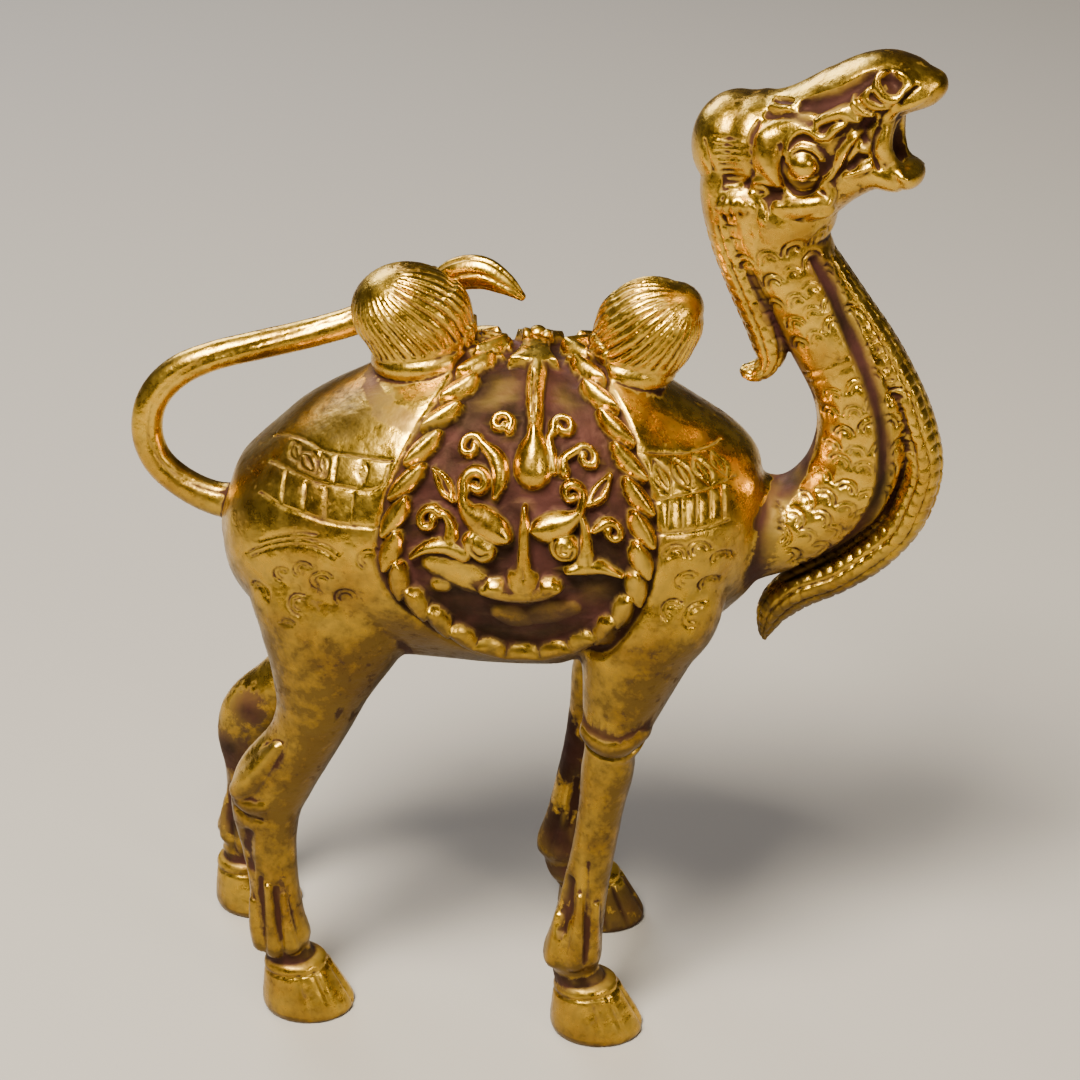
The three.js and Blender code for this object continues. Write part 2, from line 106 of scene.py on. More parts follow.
lamp("overhead_lamp", (-0.10, -0.22, 0.46), 0.18, 8.8, "#FFF6E6")
lamp("front_lamp", (0.42, -0.36, 0.26), 0.14, 1.0, "#FFF0DC")
lamp("rear_lamp", (-0.30, 0.42, 0.42), 0.30, 2.6, "#F4F6FF")

world = bpy.data.worlds.new("room")
world.use_nodes = True
world.node_tree.nodes["Background"].inputs["Color"].default_value = linear("#B9B2A8")
world.node_tree.nodes["Background"].inputs["Strength"].default_value = 0.12
bpy.context.scene.world = world

floor_mesh = bpy.data.meshes.new("floor")
sheet = bmesh.new()
bmesh.ops.create_grid(sheet, x_segments=2, y_segments=2, size=1.6)
sheet.to_mesh(floor_mesh)
sheet.free()
floor = bpy.data.objects.new("floor", floor_mesh)
bpy.context.scene.collection.objects.link(floor)
print("camera, floor and", len(bpy.data.lights), "lamps are in place")

# %% [markdown]
# ## A limb is a ring pulled along a line
# The founder's wax model was built from rolled and pressed limbs. We do the same: a circle is extruded from reading
# to reading along a smooth line, and each ring is set across the line at its own width and depth. Every corner
# remembers its angle round the ring in a layer, so that each new ring can be placed exactly.

# %% Keeping a finished part


def keep(part, batch):
    """Turns a finished part's faces outwards and lays it with the others of its batch."""
    bmesh.ops.recalc_face_normals(part, faces=part.faces)
    mesh = bpy.data.meshes.new("wax_part")
    part.to_mesh(mesh)
    part.free()
    batch.append(mesh)


# %% Smooth readings between stations
def readings(stations, per):
    """Smooth values between stations: one row of values for each reading, and the direction of travel."""
    given = np.array(stations, float)
    count = len(given) - 1
    padded = np.vstack([2 * given[0] - given[1], given, 2 * given[-1] - given[-2]])
    t = np.linspace(0, count, count * per + 1)
    i = np.minimum(t.astype(int), count - 1)
    f = (t - i)[:, None]
    a, b, c, d = (padded[i + k] for k in range(4))
    row = 0.5 * (2 * b + (c - a) * f + (2 * a - 5 * b + 4 * c - d) * f ** 2 + (3 * b - a - 3 * c + d) * f ** 3)
    way = (c - a) + 2 * (2 * a - 5 * b + 4 * c - d) * f + 3 * (3 * b - a - 3 * c + d) * f ** 2
    return row, way


# %% The loft
RING_ANGLE = "ring_angle"
THINNEST_END = 0.12  # share of a ring's size that is left at a rounded end


def rounded(t, ends):
    """How much a ring shrinks near rounded ends, which take up the two given shares of the length."""
    first, last = ends
    near_end = min(t / first if first else 1, (1 - t) / last if last else 1, 1)
    return max(math.sqrt(max(1 - (1 - near_end) ** 2, 0)), THINNEST_END)


def loft(batch, stations, sides=16, per=4, ends=(0.05, 0.05)):
    """Pulls a ring along stations of x, y, z, half-width and half-depth, and closes both ends."""
    row, way = readings(stations, per)
    part = bmesh.new()
    layer = part.verts.layers.float.new(RING_ANGLE)
    ring = bmesh.ops.create_circle(part, cap_ends=False, radius=1, segments=sides)["verts"]
    for corner in ring:
        corner[layer] = math.atan2(corner.co.y, corner.co.x)
    loop = first_loop = list(dict.fromkeys(edge for corner in ring for edge in corner.link_edges))
    for i, values in enumerate(row):
        if i:
            grown = bmesh.ops.extrude_edge_only(part, edges=loop)["geom"]
            ring = [made for made in grown if isinstance(made, bmesh.types.BMVert)]
            fresh = set(ring)
            loop = [made for made in grown if isinstance(made, bmesh.types.BMEdge) and fresh.issuperset(made.verts)]
        at = Vector(values[:3])
        along = Vector(way[i][:3]).normalized()
        wide_axis = Vector((0, 1, 0))
        wide_axis = (wide_axis - along * wide_axis.dot(along)).normalized()
        out = along.cross(wide_axis)
        reach = rounded(i / (len(row) - 1), ends)
        for corner in ring:
            angle = corner[layer]
            corner.co = (
                at
                + wide_axis * (math.cos(angle) * values[3] * reach)
                + out * (math.sin(angle) * values[4] * reach)
            )
    for end in (first_loop, loop):
        bmesh.ops.edgeloop_fill(part, edges=end)
    keep(part, batch)


# %% The ball
def ball(batch, centre, halves, turn=(0, 0, 0), detail=(24, 14)):
    """A stretched and turned ball."""
    part = bmesh.new()
    turned = Matrix.Identity(4)
    for angle, axis in zip(turn, "XYZ"):
        turned = turned @ Matrix.Rotation(math.radians(angle), 4, axis)
    place = Matrix.Translation(centre) @ turned @ Matrix.Diagonal((*halves, 1))
    bmesh.ops.create_uvsphere(part, u_segments=detail[0], v_segments=detail[1], radius=1, matrix=place)
    keep(part, batch)


# %% [markdown]
# ## The trunk and the legs
# These are the camel's large forms, with the same sizes as the plain solid. The trunk is broad and round behind the
# shoulder, the thighs and forearms are heavy, and the shins are thin with a knob at the fetlock.

# %% Trunk stations
TRUNK = [
    [-18.4, 0, 47.0, 1.6, 1.6],
    [-16.2, 0, 47.0, 7.2, 6.4],
    [-11, 0, 47.3, 10.9, 10.2],
    [-4, 0, 48.4, 12.6, 12.9],
    [4, 0, 49.7, 13.2, 14.6],
    [13, 0, 49.9, 13.2, 14.6],
    [19, 0, 49.0, 12.4, 12.6],
    [25, 0, 48.6, 9.8, 9.6],
    [28.6, 0, 48.2, 5.2, 6.2],
    [29.6, 0, 48.2, 1.4, 1.6],
]
trunk_rows = readings(TRUNK, 24)[0]
print("the trunk is", round(2 * trunk_rows[:, 3].max(), 1), "mm wide")

# %% The trunk's own coordinates, u along it and v round it
GIRTH = 13.3  # one radian round the trunk, in millimetres


def trunk_at(x):
    """The trunk's half-width, half-height and middle height at x."""
    return [np.interp(x, trunk_rows[:, 0], trunk_rows[:, column]) for column in (3, 4, 2)]


def on_trunk(u, v, lift=0.0):
    """A point on the trunk: u along it, v round it from the spine, positive on the near side."""
    wide, deep, middle = trunk_at(u)
    angle = v / GIRTH
    return Vector((u, -(wide + lift) * math.sin(angle), middle + (deep + lift) * math.cos(angle)))


def sheet_of(corners):
    """Each corner's u and v on the trunk, and how far it stands off the trunk."""
    wide, deep, middle = trunk_at(corners[:, 0])
    across = -corners[:, 1] / wide
    up = (corners[:, 2] - middle) / deep
    radius = np.hypot(across, up)
    stand_off = (radius - 1) * np.sqrt(wide * deep)
    return np.column_stack([corners[:, 0], np.arctan2(across, up) * GIRTH]), stand_off


# %% Foreleg stations
FORE_LEG = [
    [20.2, 5.0, 50, 4.2, 5.2],
    [20.3, 7.0, 44.5, 4.9, 6.2],
    [19.2, 7.6, 40.4, 4.5, 5.1],
    [18.3, 8.0, 36.4, 3.8, 4.0],
    [17.6, 8.2, 33.2, 3.2, 3.2],
    [17.2, 8.3, 31.0, 2.8, 2.75],
    [17.0, 8.3, 29.8, 2.3, 2.35],
]
FORE_SHIN = [
    [17.0, 8.3, 31.5, 1.9, 2.0],
    [16.8, 8.4, 28.2, 2.2, 2.4],
    [16.3, 8.5, 24.4, 1.95, 2.1],
    [15.7, 8.6, 20.0, 1.85, 2.0],
    [15.0, 8.7, 15.8, 1.9, 2.1],
    [14.3, 8.8, 11.4, 2.15, 2.35],
    [13.8, 8.9, 8.4, 2.45, 2.8],
    [13.75, 8.9, 7.2, 2.3, 2.65],
]

# %% Hind leg stations
NEAR_HIND_LEG = [
    [-6.0, 4.2, 50, 4.6, 6.4],
    [-7.0, 6.4, 43.6, 5.6, 8.2],
    [-7.9, 7.2, 38.8, 4.9, 6.3],
    [-8.6, 7.6, 35.4, 4.1, 4.7],
    [-9.4, 7.8, 32.0, 3.4, 3.6],
    [-10.9, 7.9, 28.6, 2.9, 3.2],
    [-13.4, 7.9, 24.8, 2.7, 3.6],
    [-14.3, 8.0, 22.0, 2.35, 3.3],
    [-14.3, 8.0, 18.0, 1.95, 2.65],
    [-14.0, 8.0, 13.6, 1.9, 2.35],
    [-13.9, 8.0, 9.6, 2.25, 2.65],
    [-13.5, 8.0, 7.6, 2.45, 2.75],
    [-13.3, 8.0, 6.6, 2.3, 2.55],
]
FAR_HIND_LEG = [
    [-6.2, 4.2, 50, 4.6, 6.2],
    [-7.8, 6.4, 43.6, 5.6, 7.6],
    [-9.4, 7.2, 38.8, 4.8, 5.6],
    [-10.6, 7.6, 35.0, 4.0, 4.4],
    [-11.9, 7.8, 31.4, 3.4, 3.7],
    [-13.4, 7.9, 28.0, 3.0, 3.2],
    [-15.4, 7.9, 25.4, 2.8, 3.2],
    [-18.2, 7.9, 22.4, 2.6, 3.5],
    [-19.3, 8.0, 19.6, 2.35, 3.2],
    [-19.4, 8.0, 16.0, 1.95, 2.55],
    [-19.7, 8.0, 12.0, 1.9, 2.35],
    [-20.5, 8.0, 8.8, 2.25, 2.65],
    [-20.9, 8.0, 7.4, 2.3, 2.6],
]

# %% Set the legs under the trunk
FAR_FORE_SHIFT = -2.3  # the far foreleg stands a little further back
PASTERN_WIDE = 2.0


def standing(stations, side, shift=0.0):
    """Leg stations set out on one side."""
    return [[x + shift, side * y, z, wide, deep] for x, y, z, wide, deep in stations]


def pastern(batch, leg, hoof_x, hoof_y):
    """The short thin neck of the leg between the fetlock and the hoof."""
    x, y, z = leg[-1][:3]
    loft(batch, [
        [x, y, z + 0.6, PASTERN_WIDE, 2.1],
        [x + 0.5, y, z - 1.5, PASTERN_WIDE, 2.2],
        [hoof_x - 1.1, hoof_y, 4.0, 2.2, 2.5],
    ], sides=20)


body = []
loft(body, TRUNK, sides=48, per=8, ends=(0, 0))
LEGS = [
    (standing(FORE_LEG, NEAR), standing(FORE_SHIN, NEAR), 16.2, NEAR * 8.9),
    (standing(FORE_LEG, FAR, FAR_FORE_SHIFT), standing(FORE_SHIN, FAR, FAR_FORE_SHIFT), 15.3, FAR * 8.9),
    (None, standing(NEAR_HIND_LEG, NEAR), -11.2, NEAR * 8.0),
    (None, standing(FAR_HIND_LEG, FAR), -19.2, FAR * 8.0),
]
for upper, lower, hoof_x, hoof_y in LEGS:
    if upper:
        loft(body, upper, sides=28, per=6, ends=(0.12, 0.06))
    loft(body, lower, sides=28, per=6, ends=(0.06, 0.03))
    pastern(body, lower, hoof_x, hoof_y)
print("the trunk stands on", len(LEGS), "legs")

# %% Neck
NECK = [
    [22, 0, 47.5, 5.5, 6],
    [27, 0, 48.2, 5.2, 5.2],
    [32.2, 0, 49.1, 4.5, 4.0],
    [36.1, 0, 52.4, 4.3, 4.1],
    [37.7, 0, 57.2, 4.2, 4.1],
    [37.0, 0, 61.8, 4.1, 3.9],
    [34.6, 0, 66.4, 4.0, 3.8],
    [31.8, 0, 70.9, 4.1, 3.8],
    [29.2, 0, 76.0, 4.2, 4.4],
    [28.3, 0, 80.5, 4.9, 4.6],
]
loft(body, NECK, sides=32, per=6, ends=(0, 0.06))
print("the rough body has", len(body), "overlapping limbs")

# %% [markdown]
# ## Fusing the limbs
# The limbs overlap like pressed wax. A voxel Remesh turns them into one closed skin, and a few rounds of smoothing
# fill the joints with a soft fillet, as a warm tool does on wax.

# %% One skin from overlapping shells
def joined(batch, name):
    """One object that holds every mesh of a batch."""
    wax = bmesh.new()
    for mesh in batch:
        wax.from_mesh(mesh)
        bpy.data.meshes.remove(mesh)
    mesh = bpy.data.meshes.new(name)
    wax.to_mesh(mesh)
    wax.free()
    made = bpy.data.objects.new(name, mesh)
    bpy.context.scene.collection.objects.link(made)
    return made


def finished(made):
    """The object's mesh with its modifiers applied. The object itself is removed."""
    mesh = bpy.data.meshes.new_from_object(made.evaluated_get(bpy.context.evaluated_depsgraph_get()))
    rough = made.data
    bpy.data.objects.remove(made)
    bpy.data.meshes.remove(rough)
    return mesh


def fuse(batch, voxel, rounds):
    """Remeshes overlapping closed shells into one skin and smooths it."""
    blank = joined(batch, "wax")
    skin = blank.modifiers.new("one_skin", "REMESH")
    skin.mode = "VOXEL"
    skin.voxel_size = voxel
    if rounds:
        soften = blank.modifiers.new("soft_joints", "SMOOTH")
        soften.factor = 0.5
        soften.iterations = rounds
    return finished(blank)


# %% Reading and pressing a skin
def corners_of(mesh):
    """The corners' places, and the way each one faces, as arrays."""
    places = np.empty(len(mesh.vertices) * 3)
    facing = np.empty(len(mesh.vertices) * 3)
    mesh.vertices.foreach_get("co", places)
    mesh.vertices.foreach_get("normal", facing)
    return places.reshape(-1, 3), facing.reshape(-1, 3)


def press(mesh, height):
    """Moves every corner in or out of the skin by its own height."""
    places, facing = corners_of(mesh)
    mesh.vertices.foreach_set("co", (places + facing * height[:, None]).ravel())
    mesh.update()


BODY_GRID = 0.32
SOFT_ROUNDS = 14
casting = fuse(body, BODY_GRID, SOFT_ROUNDS)
print("the fused body has", len(casting.vertices), "corners")

# %% [markdown]
# ## Drawing in relief
# Mask, rope, face and harness are low relief on a round body. A sculptor would add thin rolls of wax. Here each roll
# is a stroke with a width at each place along it, and the skin under the drawing is pressed out or in by the
# stroke's height. Where two strokes meet the higher one wins, which leaves the crisp valley a chaser would leave.

# %% Distances, outlines and smooth ramps
def distance_to(points, line):
    """The distance from each point to a line of joined points."""
    best = np.full(len(points), np.inf)
    for start, end in zip(line[:-1], line[1:]):
        step = end - start
        share = np.clip((points - start) @ step / max(step @ step, 1e-9), 0, 1)
        best = np.minimum(best, np.linalg.norm(points - start - share[:, None] * step, axis=1))
    return best


def inside(points, outline):
    """Which points lie inside a closed outline, by counting how many of its sides each one looks across."""
    within = np.zeros(len(points), bool)
    for (u0, v0), (u1, v1) in zip(outline, np.roll(outline, -1, axis=0)):
        spans = (v0 > points[:, 1]) != (v1 > points[:, 1])
        if v0 != v1:
            within ^= spans & (points[:, 0] < u0 + (points[:, 1] - v0) * (u1 - u0) / (v1 - v0))
    return within


def smooth_step(low, high, values):
    """0 below low, 1 above high and a smooth ramp between."""
    t = np.clip((values - low) / (high - low), 0, 1)
    return t * t * (3 - 2 * t)


# %% Curves, arcs and strokes
def curve(line, per=5):
    """A smooth line through places of two coordinates."""
    return readings(line, per)[0]


def arc(u, v, radius, start, end):
    """Part of a circle, with angles in degrees, clockwise as seen from the near side."""
    angles = np.radians(np.linspace(start, end, 9))
    return np.column_stack([u + radius * np.cos(angles), v + radius * np.sin(angles)])


def relief(points, strokes, per=3, fullness=0.7):
    """How high a drawing of rounded strokes stands over each point. A stroke is a height, then places with widths."""
    total = np.zeros(len(points))
    for high, line in strokes:
        row = readings(line, per)[0]
        widest = row[:, 2].max()
        close = np.flatnonzero(np.all(
            (points > row[:, :2].min(0) - widest) & (points < row[:, :2].max(0) + widest), axis=1
        ))
        nearby = points[close]
        best = np.zeros(len(close))
        for start, end in zip(row[:-1], row[1:]):
            step = end[:2] - start[:2]
            share = np.clip((nearby - start[:2]) @ step / max(step @ step, 1e-9), 0, 1)
            away = np.linalg.norm(nearby - start[:2] - share[:, None] * step, axis=1)
            half = np.maximum(start[2] + share * (end[2] - start[2]), 0.02)
            best = np.maximum(best, 1 - (away / half) ** 2)
        total[close] = np.maximum(total[close], high * best ** fullness)
    return total


# %% [markdown]
# ## The humps and their collars
# Each hump is a tuft of hair that stands out of a smooth collar and leans over. The tufts are lofted plain now. Their
# hair is combed in later, when the skin is fine enough to hold it. A collar is a small circle spun once round.

# %% Humps
ornament = []
REAR_HUMP = [
    [0.1, 0, 60.6, 3.9, 3.9],
    [0.1, 0, 62.8, 4.0, 4.0],
    [-0.2, 0, 64.8, 4.5, 4.6],
    [-0.7, 0, 66.8, 4.7, 4.9],
    [-1.2, 0, 68.4, 4.2, 4.4],
]
FRONT_HUMP = [
    [17.4, 0, 60.6, 3.3, 3.2],
    [17.6, 0, 62.6, 3.4, 3.4],
    [18.2, 0, 64.5, 3.9, 4.1],
    [19.0, 0, 66.4, 4.1, 4.4],
    [19.6, 0, 67.8, 3.8, 4.0],
]
loft(ornament, REAR_HUMP, sides=36, per=6, ends=(0, 0))
ball(ornament, (-1.4, 0, 67.3), (4.85, 4.6, 4.1), detail=(40, 24))
loft(ornament, FRONT_HUMP, sides=36, per=6, ends=(0, 0))
ball(ornament, (19.5, 0, 67.0), (4.3, 4.05, 3.85), detail=(40, 24))
ball(ornament, (21.3, 0, 68.3), (2.5, 3.0, 2.2), detail=(30, 18))  # the front tuft's overhanging point
print("the humps are made of", len(ornament), "shells")

# %% Collars
COLLAR_RADIUS = 4  # of the spin, before the collar is stretched to its hump


def collar(batch, centre, half_wide, half_long, tilt, thick, tall):
    """A smooth band spun round, stretched to its hump and tilted in the middle plane."""
    part = bmesh.new()
    section = bmesh.ops.create_circle(part, cap_ends=False, radius=1, segments=14)["verts"]
    bmesh.ops.scale(part, verts=section, vec=(thick, tall, 1))
    bmesh.ops.rotate(part, verts=section, matrix=Matrix.Rotation(math.radians(90), 3, "X"))
    bmesh.ops.translate(part, verts=section, vec=(COLLAR_RADIUS, 0, 0))
    edges = list(dict.fromkeys(edge for corner in section for edge in corner.link_edges))
    bmesh.ops.spin(
        part, geom=section + edges, cent=(0, 0, 0), axis=(0, 0, 1),
        angle=math.tau, steps=48, use_merge=True, use_duplicate=False,
    )
    shape = (
        Matrix.Translation(centre)
        @ Matrix.Rotation(math.radians(tilt), 4, "Y")
        @ Matrix.Diagonal((half_long / COLLAR_RADIUS, half_wide / COLLAR_RADIUS, 1, 1))
    )
    bmesh.ops.transform(part, matrix=shape, verts=part.verts)
    keep(part, batch)


collar(ornament, (0.1, 0, 63.5), 4.25, 4.2, -8, 0.55, 0.85)
collar(ornament, (17.7, 0, 63.2), 3.65, 3.5, 8, 0.55, 0.85)
print("both collars are on")

# %% [markdown]
# ## The tail, the mane and the nape lock
# The tail is one long roll that ends in a leaf-shaped tuft beside the rear hump. The mane runs down the front of the
# neck as a fluted band and ends in a point under the chest. The nape lock hangs free and hooks forward.

# %% Tail
TAIL = [
    [-15.5, 0, 48.6, 1.9, 1.9],
    [-18.8, 0.2, 48.6, 1.5, 1.6],
    [-21.8, 0.4, 49.8, 1.35, 1.45],
    [-24.2, 0.6, 51.9, 1.3, 1.4],
    [-25.1, 0.8, 54.7, 1.3, 1.4],
    [-24.4, 1.0, 57.8, 1.3, 1.4],
    [-22.2, 1.4, 60.2, 1.3, 1.4],
    [-19.0, 2.0, 61.6, 1.3, 1.3],
    [-14.8, 3.2, 62.4, 1.3, 1.3],
    [-10.2, 4.6, 63.2, 1.3, 1.3],
    [-6.0, 5.6, 64.4, 1.3, 1.35],
    [-2.0, 5.8, 66.8, 1.35, 1.4],
    [1.2, 5.2, 68.4, 1.3, 1.4],
]
TUFT = [
    [0.2, 5.6, 67.0, 1.2, 1.3],
    [2.2, 5.2, 68.7, 1.3, 1.5],
    [4.4, 4.6, 69.2, 1.2, 1.5],
    [6.4, 3.9, 68.6, 0.9, 1.05],
    [7.8, 3.3, 67.8, 0.5, 0.5],
    [8.3, 3.1, 67.4, 0.3, 0.3],
]
loft(ornament, TAIL, sides=20, per=5, ends=(0, 0.02))
loft(ornament, TUFT, sides=20, per=6, ends=(0.1, 0.05))
print("the tail is on")

# %% Mane and nape lock
MANE = [
    [32.7, 0, 75.6, 0.8, 0.5],
    [33.4, 0, 74.4, 1.5, 0.7],
    [34.9, 0, 72.0, 1.9, 0.9],
    [36.6, 0, 69.2, 2.1, 1.15],
    [38.6, 0, 66.0, 2.3, 1.4],
    [40.5, 0, 62.4, 2.5, 1.6],
    [42.1, 0, 58.5, 2.6, 1.75],
    [42.8, 0, 54.4, 2.7, 1.9],
    [41.7, 0, 50.2, 2.7, 2.0],
    [39.3, 0, 46.8, 2.6, 2.0],
    [36.2, 0, 44.4, 2.5, 2.0],
    [32.8, 0, 42.4, 2.2, 1.9],
    [30.9, 0, 40.4, 1.6, 1.6],
    [30.2, 0, 38.2, 0.8, 0.8],
    [30.1, 0, 37.0, 0.2, 0.2],
]
NAPE = [
    [25.6, 0, 82.6, 2.6, 1.2],
    [24.7, 0, 79.6, 3.0, 1.6],
    [25.5, 0, 75.5, 2.9, 1.7],
    [27.2, 0, 71.3, 2.6, 1.8],
    [28.8, 0, 67.5, 2.3, 1.7],
    [29.5, 0, 65.1, 2.1, 1.5],
    [29.3, 0, 63.7, 1.9, 1.0],
    [28.3, 0, 62.9, 1.6, 0.8],
    [26.9, 0, 62.9, 1.0, 0.5],
]
loft(ornament, MANE, sides=40, per=5, ends=(0.04, 0))
loft(ornament, NAPE, sides=30, per=6, ends=(0, 0.06))
print("mane and nape lock are on")

# %% [markdown]
# ## The hooves
# Each hoof is a bell on a flat sole. Its profile is spun once round, then it is made a little longer than wide and
# leant back under the pastern.

# %% Spin the hooves
HOOF_PROFILE = [(0, 0), (3.9, 0), (4.12, 0.2), (4.2, 0.7), (3.95, 1.7), (3.6, 2.8), (3.25, 3.9), (3.0, 4.9),
                (2.7, 5.4), (2.1, 5.6), (0, 5.6)]
HOOF_LENGTHEN = 1.03
HOOF_NARROW = 0.86
HOOF_LEAN = 0.22


def hoof(batch, x, y):
    """A bell-shaped hoof whose sole is flat on the ground."""
    part = bmesh.new()
    corners = [part.verts.new((radius, 0, height)) for radius, height in HOOF_PROFILE]
    edges = [part.edges.new(pair) for pair in zip(corners[:-1], corners[1:])]
    bmesh.ops.spin(
        part, geom=corners + edges, cent=(0, 0, 0), axis=(0, 0, 1),
        angle=math.tau, steps=36, use_merge=True, use_duplicate=False,
    )
    bmesh.ops.remove_doubles(part, verts=part.verts, dist=1e-4)
    lean = Matrix.Identity(4)
    lean[0][0] = HOOF_LENGTHEN
    lean[0][2] = -HOOF_LEAN
    lean[1][1] = HOOF_NARROW
    bmesh.ops.transform(part, matrix=Matrix.Translation((x, y, 0)) @ lean, verts=part.verts)
    keep(part, batch)


for _, _, hoof_x, hoof_y in LEGS:
    hoof(ornament, hoof_x, hoof_y)
print("four hooves are on")

# %% Three knobs on the spine, over the cloth
KNOBS = ((8.6, -1.0, 0.42), (9.6, -1.6, 0.5), (10.6, -0.9, 0.38))  # u, v and radius
for u, v, size in KNOBS:
    ball(ornament, on_trunk(u, v, 0.15), (size, size, size), detail=(14, 10))
print("the cloth's top has", len(KNOBS), "knobs")

# %% [markdown]
# ## The head
# The head is laid out looking straight ahead, because it is symmetric there, and turned towards the near side at the
# end. The skull and the lower jaw are lofts, and the wide open mouth is cut out of them with a ball.

# %% Stations of the skull, the jaw and the crown
SKULL = [
    [25.0, 0, 83.6, 3.4, 3.2],
    [27.2, 0, 83.0, 4.7, 4.2],
    [30.5, 0, 82.8, 4.7, 4.1],
    [33.4, 0, 84.6, 4.2, 3.9],
    [35.8, 0, 87.2, 3.7, 3.35],
    [37.8, 0, 88.6, 3.4, 2.85],
    [39.6, 0, 88.9, 3.0, 2.4],
    [41.1, 0, 88.95, 2.3, 1.8],
    [42.2, 0, 89.2, 1.5, 1.2],
    [42.9, 0, 89.35, 0.8, 0.6],
]
JAW = [
    [29.0, 0, 78.8, 3.8, 3.2],
    [32.0, 0, 79.5, 3.9, 3.0],
    [35.0, 0, 81.2, 3.4, 2.4],
    [37.6, 0, 82.0, 2.9, 1.8],
    [39.4, 0, 81.6, 2.6, 1.45],
    [40.1, 0, 81.6, 2.3, 1.3],
]
CROWN = [
    [24.6, 0, 83.2, 3.4, 2.6],
    [26.4, 0, 84.1, 3.7, 2.7],
    [28.6, 0, 84.3, 3.8, 2.7],
    [31.0, 0, 85.1, 3.6, 2.7],
    [33.2, 0, 86.6, 3.2, 2.5],
    [35.2, 0, 88.2, 2.6, 2.3],
]

# %% Build the head and cut the mouth
HEAD_GRID = 0.3
FACE_GRID = 0.14  # fine enough for the strokes of the face


def cut(mesh, cutters):
    """Takes closed shapes out of a mesh."""
    kept = joined([mesh], "kept")
    tool = joined(cutters, "cutter")
    taken = kept.modifiers.new("cut", "BOOLEAN")
    taken.operation = "DIFFERENCE"
    taken.solver = "MANIFOLD"
    taken.object = tool
    rest = finished(kept)
    bpy.data.objects.remove(tool)
    return rest


head = []
loft(head, SKULL, sides=32, per=6, ends=(0.04, 0.02))
loft(head, JAW, sides=28, per=6, ends=(0.05, 0.09))
loft(head, CROWN, sides=28)
ball(head, (29.6, 0, 77.3), (4.9, 4.75, 3.9))  # throat
ball(head, (36.6, 0, 84.4), (3.2, 3.3, 4.4))  # corners of the mouth
ball(head, (25.9, 0, 82.6), (3.8, 4.5, 4.3))  # back of the head
ball(head, (29.3, 0, 83.0), (4.2, 4.1, 3.9))  # temples
ball(head, (27.4, 0, 78.6), (4.1, 4.9, 3.3), (0, 12, 0))  # hair over the nape
for side in (NEAR, FAR):
    ball(head, (32.6, side * 3.3, 79.3), (2.9, 1.0, 1.3), (0, 8, 0))  # cheek
head_core = fuse(head, HEAD_GRID, 5)
openings = []
ball(openings, (42.6, 0, 85.0), (4.2, 2.7, 2.65), (0, -12, 0), detail=(40, 24))  # mouth
for side in (NEAR, FAR):
    ball(openings, (32.9, side * 5.4, 82.5), (2.0, 1.4, 2.0))  # eye socket
head = [cut(head_core, openings)]
for side in (NEAR, FAR):
    ball(head, (32.75, side * 4.15, 82.7), (1.15, 1.1, 1.15))  # eye
ball(head, (40.3, 0, 81.7), (1.25, 2.3, 1.2))  # lower lip
finished_head = fuse(head, FACE_GRID, 1)
print("the head has", len(finished_head.vertices), "corners")

# %% [markdown]
# ## The face
# The face is drawn from the side: x to the front, z up, then the stroke's half-width. Raised strokes are the brow,
# the lids, the folds from the cheek to the mouth, the wrinkles and the ear. Sunk ones are the groove along the nose,
# the one before the crown, the nostril and the hair. The hidden side has less hair.

